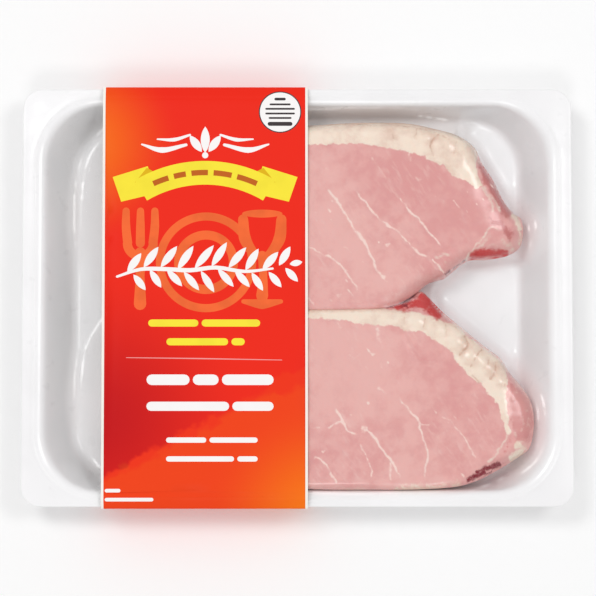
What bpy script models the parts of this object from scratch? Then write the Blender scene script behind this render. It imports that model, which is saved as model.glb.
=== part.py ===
"""Meat tray pack: two boneless chops, skin-sealed in a white formed tray, inside a board sleeve.

Units are metres, with +Z up. X runs along the tray and Y across it. The pack lies on its base:
the sleeve's lower panel is at z = 0, and the tray stands on that panel.
"""

import math

import bmesh
import bpy
from mathutils import Vector

MM = 0.001

# Formed tray
TRAY_LENGTH = 230 * MM
TRAY_WIDTH = 175 * MM
TRAY_CORNER = 8 * MM
TRAY_WALL = 0.8 * MM
TRAY_DEPTH = 17.65 * MM
TRAY_BEND = 2.2 * MM
END_FLANGE = 8.5 * MM
SIDE_FLANGE = 6.5 * MM
POCKET_CORNER = 24 * MM
END_SLOPE = 12.5 * MM
SIDE_SLOPE = 3.5 * MM
CORNER_STEPS = 8

# Board sleeve
SLEEVE_WIDTH = 85.8 * MM
SLEEVE_CENTRE_X = -38.5 * MM
BOARD = 0.5 * MM
BASE_HALF = 79.5 * MM
SIDE_FOLD_LOW = 17.0 * MM
SIDE_FOLD_HIGH = 19.9 * MM
SLEEVE_TOP = 23.7 * MM
SHOULDER_RUN = 4 * MM
SHOULDER_RISE = 1.7 * MM
CROWN_STEPS = 14

# Chops and the clear film over them
CHOP_THICKNESS = 19 * MM
OUTLINE_STEPS = 44
FILM = 0.5 * MM
GAP = 0.35 * MM

TRAY_BASE = BOARD + GAP
FLOOR = TRAY_BASE + TRAY_WALL
FLANGE = TRAY_BASE + TRAY_DEPTH
CHOP_BASE = FLOOR + GAP

# Each chop: the pole that its rings shrink to, the few points that its outline is drawn through,
# and the places where its upper face drops, as (x, y, reach, drop). All are in millimetres.
CHOPS = {
    "chop_upper": {
        "pole": (12, 34),
        "outline": [
            (-72, 36), (-66, 56), (-48, 67.5), (-18, 72), (15, 73.8), (48, 74), (66, 69),
            (77.5, 59), (87, 42), (94.5, 31), (94, 21.5), (84, 17), (72, 14.5), (60, 7),
            (47, -1.8), (30, -3.8), (-10, -4), (-46, -1.5), (-65, 13),
        ],
        "drops": [(92, 25, 14, 5.0), (56, 2, 12, 2.5)],
    },
    "chop_lower": {
        "pole": (12, -42),
        "outline": [
            (-71, -42), (-65, -22), (-48, -10.5), (-20, -6.6), (10, -5.8), (38, -5.6), (51.5, -1.8),
            (61, -6.5), (79, -21.5), (91.5, -36), (98.5, -50), (97, -65), (88, -73.5),
            (72, -77.8), (40, -78.7), (0, -78.7), (-35, -77), (-60, -66),
        ],
        "drops": [(54, -1, 13, 6.5), (95, -58, 14, 3.0)],
    },
}

# A chop's section from base to crown, as (offset out from the outline in mm, share of thickness).
CHOP_SECTION = [(-9.5, 0.0), (-6.0, 0.03), (-3.6, 0.14), (-1.5, 0.35), (0.0, 0.6), (-0.5, 0.83),
                (-1.9, 0.95), (-5.0, 0.995)]
CROWN_SHARES = (0.8, 0.55, 0.28)

# The film's tent round a chop, from below the floor up: offset in mm, share of thickness.
TENT_SECTION = [(9.5, -0.35), (6.5, 0.1), (2.2, 0.8), (-1.6, 1.0), (-5.0, 1.01)]


def clear_scene():
    for obj in list(bpy.data.objects):
        bpy.data.objects.remove(obj, do_unlink=True)


def new_collection(name):
    collection = bpy.data.collections.new(name)
    bpy.context.scene.collection.children.link(collection)
    return collection


def plastic(name, colour, roughness, metallic=0.0):
    """A Principled material of one colour, used as each part's plain finish."""
    material = bpy.data.materials.new(name)
    material.use_nodes = True
    shader = material.node_tree.nodes["Principled BSDF"]
    shader.inputs["Base Color"].default_value = (*colour, 1.0)
    shader.inputs["Roughness"].default_value = roughness
    shader.inputs["Metallic"].default_value = metallic
    return material


def place(mesh, name, collection, material=None, smooth_below=math.radians(35)):
    """Puts a finished mesh into the scene as one named object."""
    obj = bpy.data.objects.new(name, mesh)
    collection.objects.link(obj)
    mesh.shade_smooth()
    mesh.set_sharp_from_angle(angle=smooth_below)
    if material is not None:
        mesh.materials.append(material)
    return obj


def as_cutter(obj):
    obj.hide_render = True
    obj.display_type = "WIRE"
    return obj


def boolean(obj, other, operation):
    modifier = obj.modifiers.new(f"{operation.lower()} {other.name}", "BOOLEAN")
    modifier.operation = operation
    modifier.solver = "EXACT"
    modifier.object = other


def rounded_rectangle(half_x, half_y, radius, z):
    """A ring of points round a rectangle with arc corners, always with the same number of points."""
    ring = []
    for quarter in range(4):
        sign_x = 1 if quarter in (0, 3) else -1
        sign_y = 1 if quarter in (0, 1) else -1
        for step in range(CORNER_STEPS + 1):
            angle = (quarter + step / CORNER_STEPS) * math.pi / 2
            ring.append(Vector((
                sign_x * (half_x - radius) + radius * math.cos(angle),
                sign_y * (half_y - radius) + radius * math.sin(angle),
                z,
            )))
    return ring


def bridge(mesh, rings):
    """Joins each ring of points to the next with quads, and returns the rings' vertices."""
    loops = [[mesh.verts.new(point) for point in ring] for ring in rings]
    for lower, upper in zip(loops, loops[1:]):
        for here in range(len(lower)):
            there = (here + 1) % len(lower)
            mesh.faces.new((lower[here], lower[there], upper[there], upper[here]))
    return loops


def fan(mesh, loop, pole, facing_up):
    """Closes a loop with triangles to one point inside it."""
    centre = mesh.verts.new(pole)
    for here in range(len(loop)):
        ends = (loop[here], loop[(here + 1) % len(loop)])
        mesh.faces.new((*ends, centre) if facing_up else (*reversed(ends), centre))


def finished(mesh, name, split=False, facing_up=None):
    """A bmesh as a new mesh data-block.

    With split, each quad is cut the same way. An open surface is turned so that the face given as
    facing_up does so.
    """
    bmesh.ops.recalc_face_normals(mesh, faces=mesh.faces)
    if facing_up is not None and facing_up.normal.z < 0:
        bmesh.ops.reverse_faces(mesh, faces=mesh.faces)
    if split:
        bmesh.ops.triangulate(mesh, faces=mesh.faces, quad_method="FIXED")
    data = bpy.data.meshes.new(name)
    mesh.to_mesh(data)
    mesh.free()
    return data


def pocket_rings(lift):
    """The pocket's inner surface from flange to floor, raised and drawn in by lift."""
    pocket_x = TRAY_LENGTH / 2 - END_FLANGE
    pocket_y = TRAY_WIDTH / 2 - SIDE_FLANGE
    return [
        rounded_rectangle(pocket_x - lift, pocket_y - lift, POCKET_CORNER, FLANGE + lift),
        rounded_rectangle(pocket_x - END_SLOPE - lift, pocket_y - SIDE_SLOPE - lift,
                          POCKET_CORNER, FLOOR + lift),
    ]


def mark_bends(mesh, loops):
    """Weights the edges along these loops of vertices, so that a Bevel rounds only them."""
    weight = mesh.edges.layers.float.new("bevel_weight_edge")
    for loop in loops:
        for here in range(len(loop)):
            edge = mesh.edges.get((loop[here], loop[(here + 1) % len(loop)]))
            edge[weight] = 1.0


def round_bends(obj):
    bend = obj.modifiers.new("forming radius", "BEVEL")
    bend.width = TRAY_BEND
    bend.segments = 3
    bend.limit_method = "WEIGHT"


def make_tray(collection, material):
    """The flange, sloping walls and floor as one open surface, given its thickness by Solidify."""
    mesh = bmesh.new()
    rim = rounded_rectangle(TRAY_LENGTH / 2, TRAY_WIDTH / 2, TRAY_CORNER, FLANGE)
    loops = bridge(mesh, [rim, *pocket_rings(0.0)])
    floor = mesh.faces.new(loops[-1])
    mark_bends(mesh, loops[1:])
    tray = place(finished(mesh, "tray", facing_up=floor), "tray", collection, material)
    round_bends(tray)
    wall = tray.modifiers.new("sheet", "SOLIDIFY")
    wall.thickness = TRAY_WALL
    wall.offset = -1.0
    wall.use_even_offset = True
    return tray


def smooth_outline(points, count):
    """A closed Catmull-Rom curve through the points, as count points at even spacing along it."""
    fine = []
    for i in range(len(points)):
        before, start, end, after = (Vector(points[(i + k - 1) % len(points)]) for k in range(4))
        for step in range(16):
            t = step / 16
            fine.append(0.5 * (
                2 * start
                + (end - before) * t
                + (2 * before - 5 * start + 4 * end - after) * t ** 2
                + (3 * start - before - 3 * end + after) * t ** 3
            ))
    lengths = [(fine[(i + 1) % len(fine)] - fine[i]).length for i in range(len(fine))]
    spacing = sum(lengths) / count
    even, walked, wanted = [], 0.0, 0.0
    for i, length in enumerate(lengths):
        while wanted < walked + length and len(even) < count:
            even.append(fine[i].lerp(fine[(i + 1) % len(fine)], (wanted - walked) / length))
            wanted += spacing
        walked += length
    return even


def drop_at(point, drops):
    """How far a chop's upper face lies below its full thickness at a point, in millimetres."""
    return sum(
        drop * math.exp(-((point.x - x) ** 2 + (point.y - y) ** 2) / reach ** 2)
        for x, y, reach, drop in drops
    )


def chop_ring(chop, outline, offset, share, lift=0.0):
    """The chop's outline moved out by offset, at a share of the chop's thickness, in metres."""
    pole = Vector(chop["pole"])
    ring = []
    for point in outline:
        reach = (point - pole).length
        flat = pole + (point - pole) * (1 + offset / reach)
        height = share * (CHOP_THICKNESS - drop_at(flat, chop["drops"]) * MM) + lift
        ring.append(Vector((flat.x * MM, flat.y * MM, CHOP_BASE + height)))
    return ring


def crown_ring(chop, outline, share, lift=0.0):
    """A ring of the almost flat upper face, at a share of the way from the pole."""
    pole = Vector(chop["pole"])
    ring = []
    for point in outline:
        flat = pole + (point - pole) * share
        height = CHOP_THICKNESS - drop_at(flat, chop["drops"]) * MM + lift
        ring.append(Vector((flat.x * MM, flat.y * MM, CHOP_BASE + height)))
    return ring


def make_chop(name, collection, material):
    """A slab of meat with round sides that lean in towards its base, and sunk corners."""
    chop = CHOPS[name]
    outline = smooth_outline(chop["outline"], OUTLINE_STEPS)
    pole_x, pole_y = chop["pole"][0] * MM, chop["pole"][1] * MM
    rings = [chop_ring(chop, outline, offset, share) for offset, share in CHOP_SECTION]
    rings += [crown_ring(chop, outline, share) for share in CROWN_SHARES]
    mesh = bmesh.new()
    loops = bridge(mesh, rings)
    fan(mesh, loops[0], (pole_x, pole_y, CHOP_BASE), facing_up=False)
    fan(mesh, loops[-1], (pole_x, pole_y, CHOP_BASE + CHOP_THICKNESS), facing_up=True)
    return place(finished(mesh, name, split=True), name, collection, material, math.radians(60))


def make_tent(chop_name, lift, collection):
    """The solid whose upper surface the film follows over one chop and down to the tray."""
    chop = CHOPS[chop_name]
    outline = smooth_outline(chop["outline"], OUTLINE_STEPS)
    lift += GAP
    rings = [chop_ring(chop, outline, offset, share, lift) for offset, share in TENT_SECTION]
    rings += [crown_ring(chop, outline, share, lift) for share in CROWN_SHARES]
    mesh = bmesh.new()
    loops = bridge(mesh, rings)
    pole_x, pole_y = chop["pole"][0] * MM, chop["pole"][1] * MM
    crown = CHOP_BASE + CHOP_THICKNESS + lift
    fan(mesh, loops[0], (pole_x, pole_y, loops[0][0].co.z), facing_up=False)
    fan(mesh, loops[-1], (pole_x, pole_y, crown), facing_up=True)
    name = f"tent_{chop_name}_{round(lift / MM * 100)}"
    return as_cutter(place(finished(mesh, name, split=True), name, collection))


def plug_mesh(name, margin, bottom, lift):
    """A block that fills the tray up to its inner surface, with margin past the flange's edge."""
    half_x = TRAY_LENGTH / 2 + margin
    half_y = TRAY_WIDTH / 2 + margin
    rings = [
        rounded_rectangle(half_x, half_y, TRAY_CORNER + margin, bottom),
        rounded_rectangle(half_x, half_y, TRAY_CORNER + margin, FLANGE + GAP + lift),
    ]
    for ring in pocket_rings(GAP):
        rings.append([point + Vector((0, 0, lift)) for point in ring])
    mesh = bmesh.new()
    loops = bridge(mesh, rings)
    mesh.faces.new(reversed(loops[0]))
    mesh.faces.new(loops[-1])
    mark_bends(mesh, loops[2:])
    return finished(mesh, name)


def make_film(collection, cutters, material):
    """The film is what lies between two copies of the same surface, one raised by its thickness."""
    mould = as_cutter(place(plug_mesh("mould", 15 * MM, -30 * MM, 0.0), "mould", cutters))
    film = place(plug_mesh("skin_film", 0.0, -15 * MM, FILM), "skin_film", collection, material)
    round_bends(mould)
    round_bends(film)
    for chop_name in CHOPS:
        boolean(mould, make_tent(chop_name, 0.0, cutters), "UNION")
        boolean(film, make_tent(chop_name, FILM, cutters), "UNION")
    boolean(film, mould, "DIFFERENCE")
    return film


def sleeve_profile():
    """Half of the sleeve's outer section as (y, z), from the middle of the base to the crown."""
    edge_y = TRAY_WIDTH / 2 + GAP + BOARD
    shoulder_y = edge_y - SHOULDER_RUN
    shoulder_z = SIDE_FOLD_HIGH + SHOULDER_RISE
    profile = [(BASE_HALF, 0.0), (edge_y, SIDE_FOLD_LOW), (edge_y, SIDE_FOLD_HIGH)]
    for step in range(CROWN_STEPS // 2 + 1):
        turn = step / (CROWN_STEPS // 2) * math.pi / 2
        y = shoulder_y * math.cos(turn)
        profile.append((y, shoulder_z + (SLEEVE_TOP - shoulder_z) * math.sin(turn)))
    return profile


def make_sleeve(collection, material):
    """A closed band of board round the tray: base, leaning sides and a slightly crowned face."""
    half = sleeve_profile()
    mirrored = [(-y, z) for y, z in reversed(half[:-1])]
    left = SLEEVE_CENTRE_X - SLEEVE_WIDTH / 2
    mesh = bmesh.new()
    rings = [
        [Vector((left + across, y, z)) for y, z in half + mirrored]
        for across in (0.0, SLEEVE_WIDTH)
    ]
    bridge(mesh, rings)
    crown = max(mesh.faces, key=lambda face: face.calc_center_median().z)
    sleeve = place(finished(mesh, "sleeve", facing_up=crown), "sleeve", collection, material)
    fold = sleeve.modifiers.new("folds", "BEVEL")
    fold.width = 1.0 * MM
    fold.segments = 2
    fold.limit_method = "ANGLE"
    fold.angle_limit = math.radians(15)
    board = sleeve.modifiers.new("board", "SOLIDIFY")
    board.thickness = BOARD
    board.offset = -1.0
    board.use_even_offset = True
    return sleeve


def main():
    clear_scene()
    pack = new_collection("meat_tray_pack")
    cutters = new_collection("cutters")
    meat = plastic("raw_meat", (0.73, 0.36, 0.34), 0.45)
    make_tray(pack, plastic("white_tray", (0.86, 0.86, 0.86), 0.35))
    for name in CHOPS:
        make_chop(name, pack, meat)
    make_film(pack, cutters, plastic("clear_film", (0.9, 0.92, 0.93), 0.12))
    make_sleeve(pack, plastic("red_board", (0.78, 0.06, 0.03), 0.4))


main()
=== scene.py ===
"""Looks of the meat tray pack: tray, two chops, clear film, board sleeve, and the stage.

The file is laid out as an add-on and run as a script. Lengths in the shape tables are in
millimetres: X along the tray, Y across it, Z up from what the pack lies on.
"""

import math

import bpy
import numpy as np
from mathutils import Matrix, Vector
from mathutils.bvhtree import BVHTree
from mathutils.geometry import delaunay_2d_cdt


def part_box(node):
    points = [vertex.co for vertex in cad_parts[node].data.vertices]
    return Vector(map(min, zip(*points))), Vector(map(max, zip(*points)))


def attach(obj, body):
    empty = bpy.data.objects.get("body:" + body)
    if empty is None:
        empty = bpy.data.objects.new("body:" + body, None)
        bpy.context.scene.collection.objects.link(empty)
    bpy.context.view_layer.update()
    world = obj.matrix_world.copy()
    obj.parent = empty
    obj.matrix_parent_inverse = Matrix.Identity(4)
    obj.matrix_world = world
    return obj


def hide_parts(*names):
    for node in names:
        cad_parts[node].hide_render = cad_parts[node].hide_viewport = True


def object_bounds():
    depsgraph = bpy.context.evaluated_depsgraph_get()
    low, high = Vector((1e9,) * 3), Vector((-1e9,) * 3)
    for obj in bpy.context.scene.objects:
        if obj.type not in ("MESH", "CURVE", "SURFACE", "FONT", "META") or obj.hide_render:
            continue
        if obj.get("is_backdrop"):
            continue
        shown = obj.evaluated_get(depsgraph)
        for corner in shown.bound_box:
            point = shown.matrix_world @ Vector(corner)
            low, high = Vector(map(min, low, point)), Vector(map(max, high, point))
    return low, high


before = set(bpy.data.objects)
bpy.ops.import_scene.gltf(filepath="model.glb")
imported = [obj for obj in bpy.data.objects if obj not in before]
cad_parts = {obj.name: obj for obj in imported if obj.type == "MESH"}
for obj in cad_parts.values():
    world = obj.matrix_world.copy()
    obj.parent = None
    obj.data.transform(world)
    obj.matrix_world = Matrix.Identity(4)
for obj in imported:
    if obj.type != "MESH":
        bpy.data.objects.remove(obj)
CAD_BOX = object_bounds()

bl_info = {
    "name": "Meat Tray Pack",
    "version": (1, 0, 0),
    "blender": (4, 5, 0),
    "location": "3D View > Sidebar > Tray Pack",
    "description": "Makes the tray, chops, film, sleeve and stage of a meat tray pack",
    "category": "Add Mesh",
}

MM = 0.001
BODY = "root"

# Tray sizes that the other pieces are fitted to
TRAY_LOW, TRAY_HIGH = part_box("tray")
HALF_LENGTH = TRAY_HIGH.x / MM
HALF_WIDTH = TRAY_HIGH.y / MM
FLANGE_Z = TRAY_HIGH.z / MM
SHEET = 0.8
FLOOR_Z = TRAY_LOW.z / MM + SHEET
RIM_RADIUS = 8.0
POCKET_X, POCKET_Y, POCKET_RADIUS = 106.5, 81.0, 24.0
# How far the pocket's walls lean in between its mouth and its floor
END_RUN, SIDE_RUN = 12.5, 3.5

CHOP_LOW, CHOP_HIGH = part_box("chop_upper")
MEAT_Z = CHOP_LOW.z / MM
MEAT_HEIGHT = CHOP_HIGH.z / MM - MEAT_Z

SLEEVE_LOW, SLEEVE_HIGH = (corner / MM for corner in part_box("sleeve"))

# Edges sharper than this stay sharp: on formed sheet and board, and on meat and film
CREASE = math.radians(40)
SOFT_CREASE = math.radians(80)


# ---------------------------------------------------------------- shared helpers


def mesh_object(name, points, faces, materials, face_material=None, crease=CREASE):
    """A mesh object from points in millimetres, shaded smooth up to the crease angle."""
    mesh = bpy.data.meshes.new(name)
    mesh.from_pydata(np.asarray(points, float) * MM, [], faces)
    for material in materials:
        mesh.materials.append(material)
    if face_material is not None:
        mesh.polygons.foreach_set("material_index", np.asarray(face_material, np.int32))
    mesh.validate()
    obj = bpy.data.objects.new(name, mesh)
    bpy.context.scene.collection.objects.link(obj)
    shade(mesh, crease)
    return obj


def shade(mesh, crease):
    """Smooth shading, broken at edges sharper than the crease angle."""
    mesh.shade_smooth()
    mesh.set_sharp_from_angle(angle=crease)


def settle(obj, crease=CREASE):
    """Turns an object's modifiers into its mesh."""
    graph = bpy.context.evaluated_depsgraph_get()
    mesh = bpy.data.meshes.new_from_object(obj.evaluated_get(graph))
    obj.modifiers.clear()
    obj.data = mesh
    shade(mesh, crease)
    return obj


def thicken(obj, thickness, rim_slot=0, inner_slot=0):
    """Gives a sheet its thickness inwards, with slot steps for its rim and its inner face."""
    wall = obj.modifiers.new("sheet", "SOLIDIFY")
    wall.thickness = thickness * MM
    wall.offset = -1.0
    wall.use_even_offset = True
    wall.material_offset = inner_slot
    wall.material_offset_rim = rim_slot
    return settle(obj)


def smooth_path(points, closed=False, steps=8):
    """A Catmull-Rom curve through 2D points, as an array."""
    points = np.asarray(points, float)
    if closed:
        padded = np.vstack([points[-1], points, points[:2]])
    else:
        padded = np.vstack([2 * points[0] - points[1], points, 2 * points[-1] - points[-2]])
    t = (np.arange(steps) / steps)[:, None]
    spans = []
    for before, start, end, after in zip(padded, padded[1:], padded[2:], padded[3:]):
        spans.append(0.5 * (
            2 * start + (end - before) * t
            + (2 * before - 5 * start + 4 * end - after) * t ** 2
            + (3 * start - before - 3 * end + after) * t ** 3
        ))
    curve = np.vstack(spans)
    return curve if closed else np.vstack([curve, points[-1]])


def lengths_along(path):
    """Distance from the start of a path to each of its points."""
    return np.concatenate([[0.0], np.cumsum(np.linalg.norm(np.diff(path, axis=0), axis=1))])


def respaced(path, distances):
    """Points of an open path at the given distances along it."""
    along = lengths_along(path)
    return np.column_stack([np.interp(distances, along, path[:, k]) for k in range(path.shape[1])])


def path_distance(x, y, path):
    """Distance to a path, and the share of its length at the nearest point."""
    path = np.asarray(path, float)
    nearest = np.full(x.shape, 1e9)
    share = np.zeros(x.shape)
    along = lengths_along(path)
    for k, (start, end) in enumerate(zip(path, path[1:])):
        run = end - start
        size = max(run @ run, 1e-12)
        t = np.clip(((x - start[0]) * run[0] + (y - start[1]) * run[1]) / size, 0, 1)
        gap = np.hypot(x - start[0] - t * run[0], y - start[1] - t * run[1])
        closer = gap < nearest
        nearest = np.where(closer, gap, nearest)
        share = np.where(closer, (along[k] + t * (along[k + 1] - along[k])) / along[-1], share)
    return nearest, share


def inside_polygon(x, y, polygon):
    """True where points lie inside a closed polygon."""
    inside = np.zeros(x.shape, bool)
    polygon = np.asarray(polygon, float)
    for (x0, y0), (x1, y1) in zip(polygon, np.roll(polygon, -1, axis=0)):
        crosses = (y0 > y) != (y1 > y)
        rise = y1 - y0 if y1 != y0 else 1e-12
        inside ^= crosses & (x < (x1 - x0) * (y - y0) / rise + x0)
    return inside


def depth_inside(x, y, polygon):
    """Distance inside a closed polygon, negative outside it."""
    ring = np.vstack([polygon, polygon[:1]])
    gap = path_distance(x, y, ring)[0]
    return np.where(inside_polygon(x, y, polygon), gap, -gap)


def ramp(value, low, high):
    """Smooth step from 0 at low to 1 at high."""
    t = np.clip((value - low) / (high - low), 0, 1)
    return t * t * (3 - 2 * t)


def lumps(x, y, cell, seed):
    """Smooth uneven values between -1 and 1 that change over about one cell."""
    size = 97
    table = np.random.default_rng(seed).uniform(-1, 1, (size, size))
    u, v = x / cell + 500.0, y / cell + 500.0
    i, j = np.floor(u).astype(int), np.floor(v).astype(int)
    a, b = u - i, v - j
    a, b = a * a * (3 - 2 * a), b * b * (3 - 2 * b)

    def at(di, dj):
        return table[(i + di) % size, (j + dj) % size]

    low = at(0, 0) * (1 - a) + at(1, 0) * a
    high = at(0, 1) * (1 - a) + at(1, 1) * a
    return low * (1 - b) + high * b


def rounded_ring(half_x, half_y, radius, steps):
    """Points round a rectangle with arc corners."""
    ring = []
    for quarter, (sx, sy) in enumerate(((1, 1), (-1, 1), (-1, -1), (1, -1))):
        angles = (quarter + np.linspace(0, 1, steps + 1)) * math.pi / 2
        ring.append(np.column_stack([
            sx * (half_x - radius) + radius * np.cos(angles),
            sy * (half_y - radius) + radius * np.sin(angles),
        ]))
    return np.vstack(ring)


def band_faces(above, below):
    """Quads between two closed rings, each given as its points' numbers."""
    pairs = list(zip(above, below))
    return [(a, c, d, b) for (a, b), (c, d) in zip(pairs, pairs[1:] + pairs[:1])]


def ring_faces(count, rings):
    """Quads between successive closed rings of count points."""
    faces = []
    for start in range(0, (rings - 1) * count, count):
        faces += band_faces(range(start, start + count), range(start + count, start + 2 * count))
    return faces


class Finish:
    """One material, built from its Principled shader outwards. Colours are sRGB, 0 to 255."""

    def __init__(self, name, **sockets):
        self.material = bpy.data.materials.new(name)
        self.material.use_nodes = True
        self.tree = self.material.node_tree
        self.shader = self.tree.nodes["Principled BSDF"]
        for socket, value in sockets.items():
            self.join(value, self.shader.inputs[socket.replace("_", " ")])

    def join(self, value, socket):
        if isinstance(value, bpy.types.NodeSocket):
            self.tree.links.new(value, socket)
        else:
            socket.default_value = value

    def node(self, kind, inputs, output=0, **settings):
        made = self.tree.nodes.new("ShaderNode" + kind)
        for key, value in settings.items():
            setattr(made, key, value)
        for key, value in inputs.items():
            self.join(value, made.inputs[key])
        return made.outputs[output]

    def math(self, operation, a, b=0.0):
        return self.node("Math", {0: a, 1: b}, operation=operation)

    def mix(self, factor, a, b):
        return self.node("Mix", {0: factor, 6: a, 7: b}, output=2, data_type="RGBA")

    def remap(self, value, low, high, to_low=0.0, to_high=1.0):
        ends = {0: value, 1: low, 2: high, 3: to_low, 4: to_high}
        return self.node("MapRange", ends, interpolation_type="SMOOTHSTEP")

    def place(self):
        """A point's place in the piece's own coordinates, in metres."""
        return self.node("TexCoord", {}, output=3)

    def noise(self, cell_mm, detail=2.0, roughness=0.5):
        """Noise whose lumps are about cell_mm across."""
        sockets = {"Vector": self.place(), "Scale": 1000.0 / cell_mm, "Detail": detail,
                   "Roughness": roughness}
        return self.node("TexNoise", sockets)

    def coat(self, colour):
        self.join(colour, self.shader.inputs["Base Color"])

    def gloss(self, cell_mm, smooth, rough):
        """Roughness that wanders between two values over patches of about cell_mm."""
        patches = self.noise(cell_mm, detail=3)
        self.join(self.remap(patches, 0.3, 0.7, smooth, rough), self.shader.inputs["Roughness"])

    def bump(self, height, distance_mm, strength=1.0):
        sockets = {"Strength": strength, "Distance": distance_mm * MM, "Height": height}
        self.join(self.node("Bump", sockets), self.shader.inputs["Normal"])


def linear(colour, alpha=1.0):
    """A 0 to 255 sRGB colour as the linear value that shaders take."""
    share = np.asarray(colour, float) / 255
    value = np.where(share <= 0.04045, share / 12.92, ((share + 0.055) / 1.055) ** 2.4)
    return (*value, alpha)


def colour_property(name, description, colour):
    return bpy.props.FloatVectorProperty(
        name=name, description=description, default=linear(colour)[:3], subtype="COLOR",
        size=3, min=0.0, max=1.0,
    )


def size_property(name, description, millimetres):
    return bpy.props.FloatProperty(
        name=name, description=description, default=millimetres * MM, unit="LENGTH",
    )


def roughness_property(description, default):
    return bpy.props.FloatProperty(
        name="Roughness", description=description, default=default, min=0.0, max=1.0,
        subtype="FACTOR",
    )


def rgba(colour):
    return (*colour, 1.0)


def dimmed(colour, share):
    return rgba([channel * share for channel in colour])


# ---------------------------------------------------------------- tray


class TraySettings(bpy.types.PropertyGroup):
    bend: size_property("Bend", "Reach of the rounded bends at the pocket's mouth and foot", 2.6)
    bead_height: size_property("Bead height", "Height of the bead round the pocket's mouth", 0.22)
    bead_width: size_property("Bead width", "Width of the bead round the pocket's mouth", 1.6)
    corner_steps: bpy.props.IntProperty(
        name="Corner steps", description="Segments in each corner arc", default=28, min=6,
    )
    plastic: colour_property("Plastic", "Colour of the tray", (251, 250, 251))
    roughness: roughness_property("Roughness of the tray's surface", 0.32)


def white_plastic(settings):
    """Satin white sheet plastic with the slight waviness that forming leaves."""
    finish = Finish("white_formed_plastic", Specular_IOR_Level=0.45)
    cloud = finish.noise(28, detail=2)
    finish.coat(finish.mix(finish.remap(cloud, 0.35, 0.7), rgba(settings.plastic),
                           dimmed(settings.plastic, 0.965)))
    finish.gloss(6, settings.roughness - 0.05, settings.roughness + 0.08)
    finish.bump(finish.noise(9, detail=3), 0.05, strength=0.5)
    return finish.material


def pocket_ring(share, inset, height, steps):
    """A ring of the pocket: share of the way down its wall, drawn in by inset, at a height."""
    half_x = POCKET_X - END_RUN * share - inset
    half_y = POCKET_Y - SIDE_RUN * share - inset
    ring = rounded_ring(half_x, half_y, POCKET_RADIUS - inset, steps)
    return np.column_stack([ring, np.full(len(ring), height)])


def bend_rings(start, corner, end, steps, segments=7):
    """Rings of a rounded bend, each given as (share, inset, height), along a quadratic arc."""
    start, corner, end = (np.asarray(p, float) for p in (start, corner, end))
    rings = []
    for t in np.linspace(0, 1, segments):
        share, inset, height = (1 - t) ** 2 * start + 2 * t * (1 - t) * corner + t * t * end
        rings.append(pocket_ring(share, inset, height, steps))
    return rings


# The rolled outer edge of the rim: how far in each ring lies, and how far below the flange
RIM_EDGE = ((0.0, 0.28), (0.1, 0.1), (0.35, 0.0), (1.2, 0.0))
# How far in the rings of the flat floor lie
FLOOR_RINGS = (5.0, 12.0, 20.0)
BEAD_GAP = 0.4


def make_tray(settings):
    """The formed tray, as rings from the rim's outer edge to the middle of the floor."""
    steps = settings.corner_steps
    bend = settings.bend / MM
    bead, width = settings.bead_height / MM, settings.bead_width / MM
    depth = FLANGE_Z - FLOOR_Z
    fall = bend / depth
    rings = []
    for inset, drop in RIM_EDGE:
        ring = rounded_ring(HALF_LENGTH - inset, HALF_WIDTH - inset, RIM_RADIUS - inset, steps)
        rings.append(np.column_stack([ring, np.full(len(ring), FLANGE_Z - drop)]))
    for across in np.linspace(0, 1, 7):
        lift = bead * math.sin(math.pi * across)
        outwards = bend + BEAD_GAP + width * (1 - across)
        rings.append(pocket_ring(0.0, -outwards, FLANGE_Z + lift, steps))
    rings += bend_rings((0, -bend, FLANGE_Z), (0, 0, FLANGE_Z), (fall, 0, FLANGE_Z - bend), steps)
    for share in np.linspace(fall, 1 - fall, 7)[1:-1]:
        rings.append(pocket_ring(share, 0.0, FLANGE_Z - depth * share, steps))
    rings += bend_rings((1 - fall, 0, FLOOR_Z + bend), (1, 0, FLOOR_Z), (1, bend, FLOOR_Z), steps)
    for inset in FLOOR_RINGS:
        rings.append(pocket_ring(1.0, inset, FLOOR_Z, steps))
    count = len(rings[0])
    faces = ring_faces(count, len(rings))
    faces.append(tuple(range((len(rings) - 1) * count, len(rings) * count)))
    tray = mesh_object("formed_tray", np.vstack(rings), faces, [white_plastic(settings)])
    thicken(tray, SHEET)
    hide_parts("tray")
    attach(tray, BODY)
    return tray


# ---------------------------------------------------------------- chops


class MeatSettings(bpy.types.PropertyGroup):
    relief: bpy.props.FloatProperty(
        name="Relief", description="Strength of the lumps and folds of the upper face",
        default=1.0, min=0.0, max=2.0,
    )
    spacing: size_property("Spacing", "Distance between points where the meat shows", 0.45)
    lean_light: colour_property("Light grain", "Pale grain in the lean", (240, 200, 193))
    lean_pale: colour_property("Pale lean", "Lighter parts of the lean", (235, 181, 175))
    lean_deep: colour_property("Deep lean", "Deeper parts of the lean", (224, 157, 154))
    muscle: colour_property("Side muscle", "The darker muscle beside the fat", (200, 118, 116))
    fat: colour_property("Fat", "Clean fat of the cap", (246, 228, 211))
    fat_tan: colour_property("Tan fat", "Drier and browner fat", (231, 204, 187))
    # The crease colour is partly the fat's own brown and partly painted shade: it paints the shade
    # in the fat's creases and in the bands beside them, and darkens the fat towards the chop's
    # outline
    crease: colour_property("Crease", "Creases and edges of the fat", (206, 165, 143))
    marbling: colour_property("Marbling", "Thin lines of fat in the lean", (247, 217, 208))
    membrane: colour_property("Membrane", "Thin skin over muscle and fat", (236, 208, 196))
    red: colour_property("Red meat", "Bare red meat at the cut's edge", (208, 62, 62))
    # The dark colour is painted shade in deep creases and in the seam between the chops, over the
    # dark red of the meat and its juice there
    dark: colour_property("Dark crease", "Deep creases with juice in them", (136, 12, 36))


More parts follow.
